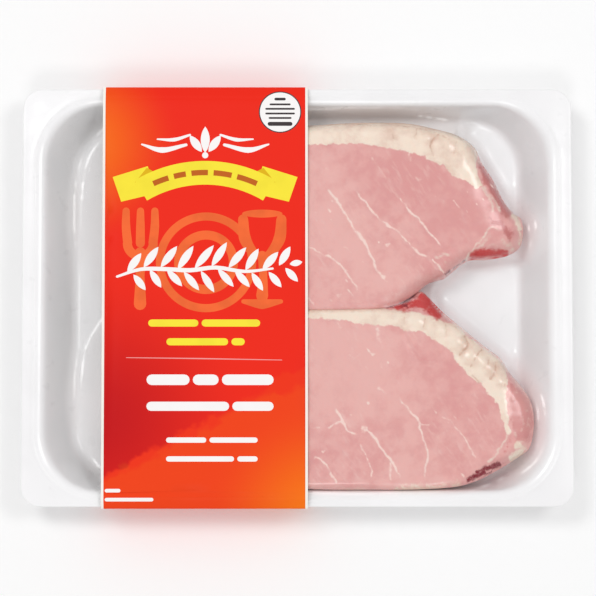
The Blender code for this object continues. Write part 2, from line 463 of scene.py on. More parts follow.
# Shapes of each chop as seen from above, drawn through a few points. Lines are given as
# (points, half width, strength), and drops, where the upper face falls, as (points, reach, drop).
CHOPS = {
    "chop_upper": {
        "pole": (44, 30),
        "outline": [
            (-72, 36), (-66, 56), (-48, 67.5), (-18, 72), (5, 72.9), (25, 74), (45, 73.8),
            (57, 71.6), (68, 68.4), (74.8, 63.4), (77.6, 57.5), (82.4, 50), (87, 41), (91, 36),
            (94.4, 33.5), (95.2, 27.5), (93.6, 21.5), (88.5, 18), (80, 16.2), (72, 15.6),
            (66, 11.6), (61.5, 8), (55, 6), (50, 2), (44, -2), (36, -4.8), (20, -5.5), (0, -5.6),
            (-20, -5), (-46, -2), (-65, 13),
        ],
        "cap": [
            (-82, 30), (-82, 82), (72, 82), (80, 68), (76, 60.5), (74.6, 56), (76, 50.5),
            (77.6, 46.6), (75, 45.2), (71.5, 48.3), (66, 50.4), (63.4, 52.6), (61, 55), (56.4, 57),
            (54, 58.9), (47, 60.4), (40, 62), (32, 63.7), (18, 64.2), (5, 64), (-20, 63),
            (-42, 58.5), (-56, 50), (-62, 37),
        ],
        "muscle": [
            [(76.2, 58), (80, 54.6), (84, 48.5), (89, 40.5), (91, 34), (87, 33), (82.6, 40),
             (79.4, 46.5), (77, 49)],
            [(80.5, 33), (86, 31.5), (90.5, 27), (89, 23), (84.5, 29.5), (80.5, 30)],
        ],
        "membrane": [
            ([(77.5, 47), (79.4, 44), (80.6, 41.4)], 1.2, 0.9),
            ([(80.4, 42), (81.8, 38.8), (82.2, 34.6)], 0.7, 0.8),
            ([(80, 44), (83, 39.4), (85.4, 34.4)], 0.6, 0.75),
            ([(69.5, 14.8), (74, 20), (77.6, 24.6), (80.4, 28.8), (83.6, 28.6), (85.4, 26)],
             0.55, 1.0),
            ([(71.6, 16.4), (75.6, 20.6), (78.4, 22.6)], 0.6, 0.8),
            ([(76.4, 21), (79.4, 24.4), (82.4, 26.4)], 1.0, 0.75),
            ([(79, 20.6), (82, 22), (84.4, 20.8)], 0.7, 0.6),
            ([(84.6, 24), (87.4, 22.4), (90.6, 22)], 1.3, 0.8),
            ([(86, 20.4), (89, 19.8), (92, 20.6)], 0.7, 0.8),
            ([(77.2, 59), (80.6, 54.6), (85, 47), (90.2, 37)], 0.6, 0.75),
            ([(57, 15.6), (60.6, 17.4), (64.6, 17.6)], 0.8, 0.6),
            ([(61.4, 14.6), (64.4, 14.4), (66.4, 16.4)], 0.9, 0.5),
        ],
        "pale_fat": [([(89.6, 35.6), (92.2, 32.4), (93.4, 27.6)], 1.5, 0.95),
                     ([(93.4, 28.6), (94, 25), (92.8, 21.6)], 1.0, 0.85)],
        "red": [([(71.6, 16.4), (76, 18.2), (83, 18.2), (90, 18.6)], 1.7, 1.0),
                ([(76.6, 56), (80.6, 51.4), (83, 48)], 0.8, 0.5)],
        # These dark lines are painted shade in the creases along the chop's lower edge, over the
        # meat's red
        "dark": [([(61.6, 8.9), (64.6, 11.6)], 0.75, 0.95),
                 ([(64.6, 11.6), (71, 16)], 0.35, 0.8),
                 ([(72.4, 17), (75.6, 18.8)], 0.8, 0.55)],
        "veins": [
            ([(11, 46.5), (16, 41), (20.5, 34), (23.5, 28.5), (29, 21.5), (31.5, 15.5),
              (35, 8.6), (40, 5.2)], 0.5, 0.8),
            ([(24, 45.4), (29, 38.6), (35, 32), (42, 27.5), (47, 22), (51.5, 17.6),
              (57, 16)], 0.42, 0.7),
            ([(42, 42.6), (46.5, 37), (51, 32), (56, 25.6), (61.5, 19.6)], 0.36, 0.65),
            ([(4, 21.2), (11, 17.6), (19, 12.6), (21.6, 9), (26, 1.5)], 0.42, 0.6),
            ([(56.4, 15.8), (59, 12.4), (61.6, 9.6)], 0.4, 0.6),
            ([(31, 59.5), (34, 53.6), (37.4, 49)], 0.3, 0.3),
            ([(47, 61), (48, 56.6)], 0.5, 0.4),
            ([(63, 42), (60, 36)], 0.35, 0.25),
            ([(67, 33.6), (71, 30)], 0.35, 0.25),
        ],
        "folds": [([(55, 15.6), (60.4, 18.8), (66, 20.8)], 0.5, 0.25)],
        "creases": [([(60, 69), (55.8, 64), (57, 58.6)], 0.45, 0.8),
                    ([(39, 71), (40.6, 65.6)], 0.45, 0.55),
                    ([(66.8, 66), (65.4, 59.8)], 0.4, 0.65),
                    ([(72, 65.4), (77, 59.8), (75.6, 55.6)], 0.5, 0.7),
                    ([(50.6, 71.4), (48.6, 66)], 0.4, 0.5),
                    ([(18, 73.2), (30, 72.4), (44, 72), (56, 69.6), (66, 64.6)], 0.4, 0.55),
                    ([(75.4, 50.6), (78, 46.4), (80.4, 41.6)], 0.3, 0.5),
                    ([(66, 51), (62.6, 54), (56, 57.4)], 0.25, 0.3)],
        "drops": [([(80, 62), (87, 47), (93, 38)], 9, 3.2), ([(84, 14), (96, 18)], 8, 5.0),
                  ([(98, 24), (98, 34)], 7, 3.5), ([(50, -1), (62, 5), (72, 12)], 6, 2.0)],
    },
    "chop_lower": {
        "pole": (46, -44),
        "outline": [
            (-71, -42), (-65, -22), (-48, -10.5), (-20, -6.6), (5, -5.5), (22, -5.3), (34, -4.8),
            (40, -3), (46.5, 0), (51.6, 2.9), (55, 0.6), (60, -4.6), (66, -10.2), (72, -15.2),
            (79, -20.8), (85, -25.4), (89, -31.4), (93.6, -37), (97.4, -42.8), (99, -50),
            (98.5, -58), (96.6, -63.6), (92, -67), (87, -70.3), (81.5, -73.4), (75, -76.6),
            (66, -79.2), (50, -80.3), (30, -80.4), (5, -80.2), (-35, -78), (-60, -66),
        ],
        "cap": [
            (-82, -34), (-72, -12), (-48, 2), (20, 2), (36, -5), (44, -5.9), (51, -6.6),
            (58, -8.6), (62.5, -10.6), (66.5, -11.8), (71, -15.9), (77.5, -21.6), (83, -25),
            (86.2, -29), (87.6, -35), (87, -42), (87.7, -50), (88.8, -56.6), (87, -58.4),
            (85.6, -53), (84.4, -48.6), (82.8, -44.4), (79, -40), (77.2, -37.2), (74.6, -36),
            (71.8, -32.8), (69.5, -30.6), (66.2, -27.4), (65.2, -24.6), (61.8, -22), (59, -19.2),
            (54, -16.6), (51.8, -14.7), (44.4, -14.3), (42, -12.6), (33, -12.1), (25, -11.4),
            (20, -9.9), (4, -9.4), (-20, -10.6), (-44, -15.6), (-57, -26), (-63, -40),
        ],
        "muscle": [
            [(88.4, -36), (93, -38.6), (97.4, -45), (98.8, -52), (96.6, -60), (91, -60.6),
             (88.8, -54), (88, -44)],
        ],
        "membrane": [
            ([(64, -9.6), (71, -14.6), (79, -21.4), (85.4, -26.8), (89, -33)], 2.2, 0.85),
            ([(90, -33.8), (94.6, -39.2), (97.8, -45.4), (98.4, -53)], 0.9, 0.6),
            # Painted highlight: this line paints the whitish streak of a glint on the wet tail, in
            # membrane colour
            ([(92.6, -57), (94, -53), (93, -48.6)], 0.8, 0.5),
            ([(89.4, -43.6), (91, -39.6), (90, -36)], 0.7, 0.5),
            ([(95, -46), (96.6, -50), (96.2, -56)], 0.9, 0.45),
            ([(90, -55.6), (91.6, -59.6), (95, -61)], 0.7, 0.6),
            ([(87.6, -56), (86.4, -60), (83.2, -65), (78.6, -70.4)], 0.6, 0.95),
        ],
        "pale_fat": [([(90, -61), (93.6, -63), (91.4, -66), (88, -68.4)], 1.7, 1.0),
                     # Along the lower chop's bottom edge the pale fat is partly a thin fat rim and
                     # partly painted light that lifts the shade where the edge turns down
                     ([(38, -80.6), (50, -80.2), (60, -79.6), (70.5, -77.2)], 2.6, 0.6),
                     ([(4, -81), (22, -81), (38, -81)], 1.8, 0.5)],
        "red": [([(39, -3.6), (46, -2.8), (52, -2.4), (57, -5), (62, -8.6)], 2.8, 1.0),
                ([(51, 1.6), (55, -1), (59, -5)], 2.6, 1.0),
                ([(88.4, -58.6), (87.4, -62), (86, -66)], 0.9, 0.5)],
        # Along the seam between the chops and in the deep crease near the bottom, these dark lines
        # are painted shade over the meat's red; the two short ones at the tail are dark spots in
        # the meat
        "dark": [([(36, -4.6), (39.4, -3.4), (45, -1.4), (51.4, 1.6)], 1.1, 1.0),
                 ([(42, -5.2), (50, -5), (58, -7)], 0.5, 0.5),
                 ([(37, -4.2), (42, -3.4), (47, -3.4)], 1.5, 0.7),
                 ([(69.6, -77), (74.6, -74.6), (79, -72.4)], 1.2, 1.0),
                 ([(73.4, -74), (78.6, -71.6), (85.6, -69.4)], 1.2, 0.95),
                 ([(76, -75), (82, -72.2)], 0.8, 0.7),
                 ([(90, -40.4), (93, -41)], 0.35, 0.3), ([(91.6, -50.5), (92.6, -52)], 0.5, 0.25)],
        "veins": [
            ([(15.6, -45.6), (18, -50.4), (21, -56), (25.2, -58.6)], 0.45, 0.75),
            ([(12.4, -55.2), (15, -53.4), (18.6, -52.6)], 0.5, 0.5),
            ([(25.6, -54.8), (29.6, -56.2), (33, -61), (36.6, -65.4), (40, -69.6),
              (43.4, -76.6)], 0.5, 0.8),
            ([(38.6, -68), (38.8, -77.4)], 0.36, 0.5),
            ([(41, -41.4), (46, -47), (49.6, -51.6), (52, -59), (54, -66), (53, -72),
              (53.2, -78)], 0.45, 0.7),
            ([(50, -53), (55.4, -53.8)], 0.36, 0.5),
            ([(59, -49.8), (63.6, -51.8), (68.6, -57.6), (72, -64), (75.6, -69)], 0.36, 0.5),
            ([(6, -66), (11, -69), (13.4, -73), (16.4, -78.6)], 0.45, 0.65),
            ([(26, -61), (28.4, -67), (31.6, -75.6)], 0.36, 0.5),
            ([(33.8, -12), (33.6, -16.6), (35, -20.4)], 0.8, 0.4),
            ([(16.4, -10.6), (19, -13.8)], 0.5, 0.4),
            ([(33, -37.4), (37.4, -40.8)], 0.5, 0.35),
            ([(5, -54.4), (9.6, -55)], 0.6, 0.4),
            ([(26.5, -55.6), (29.5, -55.4)], 1.3, 0.45),
            ([(21, -24.4), (23.4, -25.8)], 0.4, 0.3),
        ],
        "folds": [([(43, -13), (45.4, -17.4), (49.4, -25), (53, -27.6), (57, -28.2)], 0.7, 0.45)],
        "creases": [([(53.4, -8.4), (52.4, -14.6)], 0.35, 0.65),
                    ([(61.8, -10.6), (62.2, -17.4)], 0.35, 0.5),
                    ([(69.4, -15.4), (70.8, -19.2), (69.2, -23), (66.6, -25.4)], 0.5, 0.9),
                    ([(67.4, -19.6), (68.4, -23.6)], 0.3, 0.45),
                    ([(77.4, -21.2), (74.8, -24.8), (71.6, -30.4)], 0.45, 0.75),
                    ([(82.8, -26.4), (82.4, -31), (79.6, -35.2)], 0.5, 0.85),
                    ([(80.2, -24.8), (79, -28.8)], 0.3, 0.4),
                    ([(87.4, -40), (86, -36), (84.6, -38.6)], 0.4, 0.45),
                    ([(72, -32.8), (76.4, -37)], 0.4, 0.55),
                    ([(45.4, -7), (44, -12)], 0.3, 0.35),
                    ([(57.4, -11), (57, -15)], 0.25, 0.3)],
        "drops": [([(46, 0), (54, 0), (61, -4.4)], 6.2, 4.6),
                  ([(88, -22), (97, -34), (102, -48), (101, -62)], 8, 2.6),
                  ([(76, -80), (88, -74)], 6, 2.6)],
    },
}

# Puckers across the fat of each chop: centre, reach, height
PUCKERS = {
    "chop_upper": [(48, 67, 5, 0.35), (61, 64, 4, 0.4), (70, 57, 4.4, 0.45), (34, 69, 5, 0.25)],
    "chop_lower": [(57, -12.4, 4.2, 0.6), (65.5, -18.6, 4.2, 0.8), (73, -26, 4.0, 0.9),
                   (78.8, -29.4, 3.2, 0.7), (84.6, -35.4, 3.2, 0.7), (47.4, -9.6, 4.2, 0.4)],
}

# Where the lean is deeper (+) or paler (-): centre, reach, amount
# The paler spots at the left of each chop, by the sleeve's edge, are partly the lean's own paler
# tone and partly painted reflection of the film
TONES = {
    "chop_upper": [(47, 51, 16, 0.55), (70, 38, 14, 0.35), (14, 28, 17, -0.45),
                   (33, 9, 14, -0.15), (58, 22, 9, 0.25), (30, 46, 9, 0.2), (57, 8, 8, 0.3)],
    "chop_lower": [(28, -34, 19, -0.6), (12, -20, 14, -0.35), (72, -52, 18, 0.15),
                   (48, -27, 8, 0.3), (16, -62, 12, 0.15), (50, -72, 12, -0.3),
                   (60, -38, 12, 0.05)],
}
# How strongly the side muscle's colour shows
MUSCLE_DEPTH = {"chop_upper": 1.0, "chop_lower": 0.5}

# Height of a chop's side below its widest line: (inset, share of the way down to its base)
SIDE_PROFILE = [(0.25, 0.12), (0.8, 0.28), (1.6, 0.45), (2.7, 0.62), (4.0, 0.78), (5.6, 0.91),
                (7.4, 0.98), (9.6, 1.0)]
# Insets of the close rings of points just inside a chop's edge
SHOULDER_RINGS = (0.1, 0.25, 0.5, 0.85)
# Distance from an edge at which a layer that marks one side of it is full
SHARE_REACH = 4.0
# Where the sleeve covers the chops, points can lie this far apart
COVERED_SPACING = 2.2

# Each colour attribute of the meat, with the three layers that its channels hold
PAINT = {
    "meat_edges": ("fat", "muscle", "rim"),
    "meat_lines": ("veins", "membrane", "creases"),
    "meat_reds": ("red", "dark", "pale_fat"),
    "meat_tones": ("tone", "painted_hollow_shade", "depth"),
}
# Layers that fade out down a chop's side
FADES_DOWN = ("red", "dark", "veins", "membrane", "creases", "painted_hollow_shade")


def chop_outline(points):
    """The closed outline with close points on the end that shows, and its edge points."""
    curve = smooth_path(points, closed=True, steps=24)
    curve = np.vstack([curve, curve[:1]])
    along = lengths_along(curve)
    spacing = 0.6 + 1.8 * ramp(-curve[:, 0], 0, 25)
    weight = np.concatenate([[0.0], np.cumsum(np.diff(along) / spacing[1:])])
    count = int(weight[-1])
    distances = np.interp(np.arange(count) * weight[-1] / count, weight, along)
    return respaced(curve, distances)


def field_points(edge, spacing):
    """Points over the inside of an outline, close where it shows and wide where it is covered."""
    kept = []
    low, high = edge.min(axis=0), edge.max(axis=0)
    for step, start, end in ((spacing, 1.0, high[0]), (COVERED_SPACING, low[0], 0.4)):
        xs = np.arange(start, end, step)
        ys = np.arange(low[1], high[1], step * 0.866)
        x, y = np.meshgrid(xs, ys)
        x[::2] += step / 2
        x, y = x.ravel(), y.ravel()
        inside = depth_inside(x, y, edge) > max(SHOULDER_RINGS[-1] + 0.3, 0.4 * step)
        kept.append(np.column_stack([x[inside], y[inside]]))
    return np.vstack(kept)


def marks_along(x, y, marks, wobble=0.0, seed=0):
    """Strength of soft lines, each given as (points, half width, strength)."""
    total = np.zeros(x.shape)
    for k, (points, width, strength) in enumerate(marks):
        path = smooth_path(points)
        low, high = path.min(axis=0) - 4 * width - 1, path.max(axis=0) + 4 * width + 1
        near = (x > low[0]) & (x < high[0]) & (y > low[1]) & (y < high[1])
        shift_x = wobble * lumps(x[near], y[near], 2.2, seed + k)
        shift_y = wobble * lumps(x[near], y[near], 2.2, seed + 50 + k)
        gap, share = path_distance(x[near] + shift_x, y[near] + shift_y, path)
        breaks = 0.8 + 0.3 * lumps(x[near], y[near], 3.5, seed + 90 + k) if wobble else 1.0
        ends = ramp(share, 0.0, 0.1) * ramp(1 - share, 0.0, 0.12) if wobble else 1.0
        soft = np.exp(-(gap / width) ** 2 / 1.4) * strength * breaks * ends
        total[near] = np.maximum(total[near], soft)
    return np.clip(total, 0, 1)


def edge_share(depth):
    """A signed distance in millimetres as a 0 to 1 value that is a half at the edge."""
    return np.clip(0.5 + depth / (2 * SHARE_REACH), 0, 1)


def chop_marks(x, y, depth, name, seed):
    """Where the fat, marbling, membrane, side muscle and red meat lie, and the painted shade of
    dark creases.
    """
    chop = CHOPS[name]
    # Wide soft bands along the creases and folds: painted shade beside them in the fat, and a
    # shallow hollow in the face
    painted_hollow_shade = [(points, 4.2 * width, 0.75 * strength) for points, width, strength
               in chop["creases"] + chop["folds"]]
    tone = 0.45 + 0.16 * lumps(x, y, 11, seed + 20) + 0.1 * lumps(x, y, 4.6, seed + 21)
    for tx, ty, reach, amount in TONES[name]:
        tone += amount * np.exp(-((x - tx) ** 2 + (y - ty) ** 2) / reach ** 2)
    rough = 0.5 * lumps(x, y, 1.7, seed + 1) + 0.35 * lumps(x, y, 4.5, seed + 2)
    muscle = np.full(x.shape, -SHARE_REACH)
    for region in chop["muscle"]:
        muscle = np.maximum(muscle, depth_inside(x, y, region) + rough)
    flecks = ramp(lumps(x * 0.8 + y * 0.6, y * 0.45 - x * 0.3, 1.7, seed + 5), 0.66, 0.95)
    flecks *= 0.5 * ramp(lumps(x, y, 12, seed + 6), -0.1, 0.6)
    return {
        "fat": edge_share(depth_inside(x, y, chop["cap"]) + rough),
        "muscle": edge_share(muscle),
        "rim": np.clip(depth / SHARE_REACH, 0, 1),
        "veins": np.maximum(marks_along(x, y, chop["veins"], 0.6, seed + 100), flecks),
        "membrane": marks_along(x, y, chop["membrane"], 0.5, seed + 200),
        "creases": marks_along(x, y, chop["creases"], 0.35, seed + 600),
        "red": marks_along(x, y, chop["red"], 0.3, seed + 400),
        "dark": marks_along(x, y, chop["dark"], 0.15, seed + 500),
        "pale_fat": marks_along(x, y, chop["pale_fat"], 0.4, seed + 300),
        "folds": marks_along(x, y, chop["folds"]),
        "tone": np.clip(tone, 0, 1),
        "painted_hollow_shade": marks_along(x, y, painted_hollow_shade, 0.6, seed + 700),
        "depth": np.full(x.shape, MUSCLE_DEPTH[name]),
    }


def top_height(x, y, depth, name, marks, seed, relief):
    """Height of a chop's upper face above its base, by how far inside the outline a point is."""
    full = np.full(x.shape, MEAT_HEIGHT - 0.4)
    for points, reach, drop in CHOPS[name]["drops"]:
        gap = path_distance(x, y, smooth_path(points, steps=3))[0]
        full -= drop * np.exp(-(gap / reach) ** 2)
    # Where the chops meet they press each other upright, so the shoulder there is tight.
    pressed = ramp(44 - x, 0, 14) * ramp(6 - np.abs(y + 5.7), 0, 3)
    pressed = np.maximum(pressed, 0.75 * ramp(-y, 70, 76))
    shoulder = 6.0 - 4.0 * pressed
    widest = 0.6 + 0.35 * pressed
    turn = np.clip(1 - depth / shoulder, 0, 1)
    round_off = widest + (1 - widest) * np.sqrt(np.clip(1 - turn ** 2.3, 0, 1))
    fat = ramp(marks["fat"], 0.44, 0.6)
    swell = 0.42 * lumps(x, y, 24, seed + 10) + 0.18 * lumps(x, y, 9, seed + 11)
    swell += 0.07 * lumps(x, y, 3.6, seed + 12) + 0.025 * lumps(x, y, 1.5, seed + 14)
    swell += fat * (0.22 + 0.26 * lumps(x, y, 5, seed + 13) + 0.08 * lumps(x, y, 2, seed + 15))
    swell += 0.05 * marks["veins"] - 0.3 * marks["dark"] - 0.2 * marks["red"]
    swell -= 0.7 * marks["folds"] + 0.45 * marks["creases"] + 0.45 * marks["painted_hollow_shade"]
    swell += 0.25 * marks["membrane"]
    for px, py, reach, height in PUCKERS[name]:
        swell += height * np.exp(-((x - px) ** 2 + (y - py) ** 2) / reach ** 2)
    return full * round_off + swell * relief * ramp(depth, 0.0, 3.0)


def side_rings(edge, rays, heights, seed):
    """Rings of a chop's side, each lower and further in along the rays than the one before."""
    for inset, down in SIDE_PROFILE:
        bulge = 0.35 * lumps(edge[:, 0] * 0.8, edge[:, 1] * 0.8 + 40 * down, 6, seed + 30)
        ring = edge + rays * (inset + bulge[:, None] * (down < 0.9))
        yield np.column_stack([ring, MEAT_Z + heights * (1 - down)])


def make_chop(name, settings, material, seed):
    """One chop: its upper face cut into triangles inside its outline, then its side and base."""
    chop = CHOPS[name]
    edge = chop_outline(chop["outline"])
    rays = np.asarray(chop["pole"], float) - edge
    rays /= np.linalg.norm(rays, axis=1)[:, None]
    count = len(edge)
    rings = [edge + rays * inset for inset in SHOULDER_RINGS]
    flat = np.vstack([edge, *rings, field_points(edge, settings.spacing / MM)])
    flat, _, faces, origins, _, _ = delaunay_2d_cdt(
        [Vector(point) for point in flat], [], [list(range(count))], 1, 1e-6)
    flat = np.array(flat)
    at = {origin: k for k, sources in enumerate(origins) for origin in sources}
    rim = [at[k] for k in range(count)]
    depth = np.maximum(depth_inside(*flat.T, edge), 0)
    marks = chop_marks(*flat.T, depth, name, seed)
    height = top_height(*flat.T, depth, name, marks, seed, settings.relief)
    points = [np.column_stack([flat, height + MEAT_Z])]
    faces = [tuple(face) for face in faces]
    above = rim
    for ring in side_rings(edge, rays, height[rim], seed):
        start = sum(len(part) for part in points)
        points.append(ring)
        below = list(range(start, start + count))
        faces += band_faces(above, below)
        above = below
    faces.append(tuple(above))
    obj = mesh_object(f"pork_{name}", np.vstack(points), faces, [material], crease=SOFT_CREASE)
    carried = np.tile(rim, len(SIDE_PROFILE))
    fade = np.repeat([1 - down for _, down in SIDE_PROFILE], count) ** 2
    for layer, parts in PAINT.items():
        channels = []
        for part in parts:
            side = marks[part][carried] * (fade if part in FADES_DOWN else 1)
            channels.append(np.concatenate([marks[part], side]))
        paint(obj.data, layer, channels)
    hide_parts(name)
    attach(obj, BODY)
    return obj


def paint(mesh, name, channels):
    """Stores three 0 to 1 values at each point, as the channels of one colour attribute."""
    layer = mesh.color_attributes.new(name, "FLOAT_COLOR", "POINT")
    values = np.ones((len(mesh.vertices), 4), np.float32)
    for k, channel in enumerate(channels):
        values[:, k] = channel
    layer.data.foreach_set("color", values.ravel())


def raw_meat(settings):
    """Moist lean meat with fat, marbling and membrane where the mesh's layers put them."""
    finish = Finish("raw_pork", Specular_IOR_Level=0.4, Subsurface_Weight=0.12,
                    Subsurface_Scale=0.002)
    finish.shader.inputs["Subsurface Radius"].default_value = (1.0, 0.4, 0.3)
    part = {}
    for layer, names in PAINT.items():
        stored = finish.node("VertexColor", {}, layer_name=layer)
        for k, name in enumerate(names):
            part[name] = finish.node("SeparateColor", {0: stored}, output=k)
    frill = finish.remap(finish.noise(1.5, detail=4, roughness=0.6), 0.3, 0.7, -1.0, 1.0)

    def crisp(name, low, high, wander):
        frilled = finish.math("ADD", part[name], finish.math("MULTIPLY", frill, wander))
        return finish.remap(frilled, low, high)

    patchy = finish.remap(finish.noise(6, detail=4, roughness=0.6), 0.35, 0.7, -0.2, 0.3)
    tone = finish.math("ADD", part["tone"], patchy)
    cloud = finish.remap(finish.noise(13, detail=2), 0.42, 0.62)
    grain_place = finish.node("Mapping", {0: finish.place(), 2: (0.0, 0.0, -0.95),
                                          3: (3.2, 1.0, 1.0)}, vector_type="TEXTURE")
    grain = finish.node("TexNoise", {"Vector": grain_place, "Scale": 620.0, "Detail": 4.0})
    grain = finish.math("MULTIPLY", finish.remap(grain, 0.5, 0.78, 0.0, 0.5), cloud)
    lean = finish.mix(finish.remap(tone, 0.0, 1.0), rgba(settings.lean_pale),
                      rgba(settings.lean_deep))
    lean = finish.mix(grain, lean, rgba(settings.lean_light))
    muscle = finish.math("MULTIPLY", crisp("muscle", 0.42, 0.62, 0.06), part["depth"])
    colour = finish.mix(muscle, lean, rgba(settings.muscle))
    colour = finish.mix(crisp("veins", 0.09, 0.58, 0.13), colour, rgba(settings.marbling))
    colour = finish.mix(crisp("membrane", 0.2, 0.95, 0.22), colour, rgba(settings.membrane))
    tan = finish.remap(finish.noise(9, detail=4, roughness=0.65), 0.42, 0.7, 0.0, 0.9)
    fats = finish.mix(tan, rgba(settings.fat), rgba(settings.fat_tan))
    rim = finish.math("MULTIPLY", crisp("rim", 0.42, 0.02, 0.1), 0.55)
    fats = finish.mix(rim, fats, rgba(settings.crease))
    # Painted shade: the fat darkens towards the crease colour in the soft bands beside its creases
    # and folds
    hollow_shade = finish.math("MULTIPLY", part["painted_hollow_shade"], 0.55)
    fats = finish.mix(hollow_shade, fats, rgba(settings.crease))
    # The fat's creases take the crease colour: partly their own browner fat, partly painted shade
    # in them
    creases = crisp("creases", 0.14, 1.0, 0.2)
    fat = finish.math("MAXIMUM", crisp("fat", 0.46, 0.54, 0.04), crisp("pale_fat", 0.2, 0.8, 0.16))
    colour = finish.mix(fat, colour, fats)
    colour = finish.mix(creases, colour, rgba(settings.crease))
    colour = finish.mix(crisp("red", 0.15, 0.75, 0.16), colour, rgba(settings.red))
    # Painted shade: deep creases and the seam between the chops darken to the dark colour
    colour = finish.mix(crisp("dark", 0.25, 0.9, 0.18), colour, rgba(settings.dark))
    finish.coat(colour)
    finish.gloss(5, 0.32, 0.55)
    finish.bump(finish.noise(1.3, detail=3, roughness=0.55), 0.05, strength=0.45)
    return finish.material


# ---------------------------------------------------------------- film


class FilmSettings(bpy.types.PropertyGroup):
    thickness: size_property("Thickness", "Thickness of the film", 0.1)
    bridge: size_property("Bridging radius", "Tightest curve that the film is drawn into", 7.0)
    tent_slope: bpy.props.FloatProperty(
        name="Tent slope", description="Rise over run of the film at the chops' covered ends",
        default=0.86, min=0.2,
    )
    spacing: size_property("Spacing", "Distance between the film's points", 1.0)
    roughness: roughness_property("Roughness of the film's gloss", 0.2)


def clear_film(settings):
    """Clear film: see-through with a soft gloss that grows where it is seen at a slant."""
    finish = Finish("clear_film")
    tree = finish.tree
    wrinkle = finish.noise(3.2, detail=3, roughness=0.6)
    normal = finish.node("Bump", {"Strength": 0.35, "Distance": 0.1 * MM, "Height": wrinkle})
    clear = finish.node("BsdfTransparent", {"Color": (1.0, 1.0, 1.0, 1.0)})
    gloss = finish.node("BsdfGlossy", {"Color": (1, 1, 1, 1), "Roughness": settings.roughness,
                                       "Normal": normal})
    slant = finish.node("LayerWeight", {"Blend": 0.5, "Normal": normal}, output=1)
    share = finish.math("ADD", 0.02, finish.math("POWER", slant, 4.0))
    share = finish.math("MINIMUM", share, 0.35)
    mixed = finish.node("MixShader", {0: share, 1: clear, 2: gloss})
    tree.nodes.remove(finish.shader)
    tree.links.new(mixed, tree.nodes["Material Output"].inputs["Surface"])
    return finish.material


def shifted(grid, rows, columns):
    """The grid moved by whole cells, with its edge values carried over."""
    height, width = grid.shape
    row = np.clip(np.arange(height) + rows, 0, height - 1)
    column = np.clip(np.arange(width) + columns, 0, width - 1)
    return grid[np.ix_(row, column)]


def rolled_under(grid, radius, cell):
    """The lowest surface above the grid that a ball of this radius could roll along."""
    reach = int(radius / cell)
    stamp = [
        (i, j, math.sqrt(radius ** 2 - (i * i + j * j) * cell ** 2))
        for i in range(-reach, reach + 1) for j in range(-reach, reach + 1)
        if (i * i + j * j) * cell ** 2 < radius ** 2
    ]
    raised = np.full(grid.shape, -1e9)
    for i, j, rise in stamp:
        np.maximum(raised, shifted(grid, i, j) + rise, out=raised)
    closed = np.full(grid.shape, 1e9)
    for i, j, rise in stamp:
        np.minimum(closed, shifted(raised, i, j) - rise, out=closed)
    return closed


def blurred(grid, passes):
    """The grid with each cell mixed with its neighbours, once for each pass."""
    for _ in range(passes):
        grid = (shifted(grid, 1, 0) + shifted(grid, -1, 0) + 2 * grid) / 4
        grid = (shifted(grid, 0, 1) + shifted(grid, 0, -1) + 2 * grid) / 4
    return grid


def surface_under(objects, xs, ys):
    """Height of the highest surface of the objects under each point of a grid."""
    points, faces = [], []
    for obj in objects:
        start = len(points)
        points += [vertex.co.copy() for vertex in obj.data.vertices]
        faces += [[start + k for k in face.vertices] for face in obj.data.polygons]
    tree = BVHTree.FromPolygons(points, faces)
    down = Vector((0, 0, -1))
    heights = np.full((len(ys), len(xs)), FLANGE_Z)
    for row, y in enumerate(ys):
        for column, x in enumerate(xs):
            hit = tree.ray_cast(Vector((x * MM, y * MM, 0.1)), down)[0]
            if hit is not None:
                heights[row, column] = hit.z / MM
    return heights


def sampled(grid, xs, ys, x, y):
    """Values of the grid at points, straight-line between its cells."""
    u = np.clip((x - xs[0]) / (xs[1] - xs[0]), 0, len(xs) - 1.001)
    v = np.clip((y - ys[0]) / (ys[1] - ys[0]), 0, len(ys) - 1.001)
    i, j = u.astype(int), v.astype(int)
    a, b = u - i, v - j
    return ((grid[j, i] * (1 - a) + grid[j, i + 1] * a) * (1 - b)
            + (grid[j + 1, i] * (1 - a) + grid[j + 1, i + 1] * a) * b)


# Size of a cell of the grid that the film's height is worked out on
FILM_CELL = 0.5
# The chops' covered ends, where the film stands off them in tents, lie beyond this
TENTS_BELOW_X = -55
TENT_DROP = 1.2
# Height of the film's lower face above the height that is worked out
FILM_LIFT = 0.1


def drawn_heights(settings, tray, chops):
    """A grid of the film's height: tented at the covered ends and bridging the corners."""
    xs = np.arange(-HALF_LENGTH, HALF_LENGTH + FILM_CELL, FILM_CELL)
    ys = np.arange(-HALF_WIDTH, HALF_WIDTH + FILM_CELL, FILM_CELL)
    under = surface_under([tray, *chops], xs, ys)
    grid_x, grid_y = np.meshgrid(xs, ys)
    lifted = under.copy()
    covered = grid_x < TENTS_BELOW_X
    for name in CHOPS:
        outline = smooth_path(CHOPS[name]["outline"], closed=True, steps=4)
        ring = np.vstack([outline, outline[:1]])
        gap = path_distance(grid_x[covered], grid_y[covered], ring)[0]
        tent = MEAT_Z + MEAT_HEIGHT - TENT_DROP - settings.tent_slope * gap
        lifted[covered] = np.maximum(lifted[covered], tent)
    drawn = rolled_under(lifted, settings.bridge / MM, FILM_CELL)
    for passes, clearance in ((3, 0.06), (1, 0.04)):
        drawn = np.maximum(blurred(drawn, passes), under + clearance)
    return xs, ys, drawn


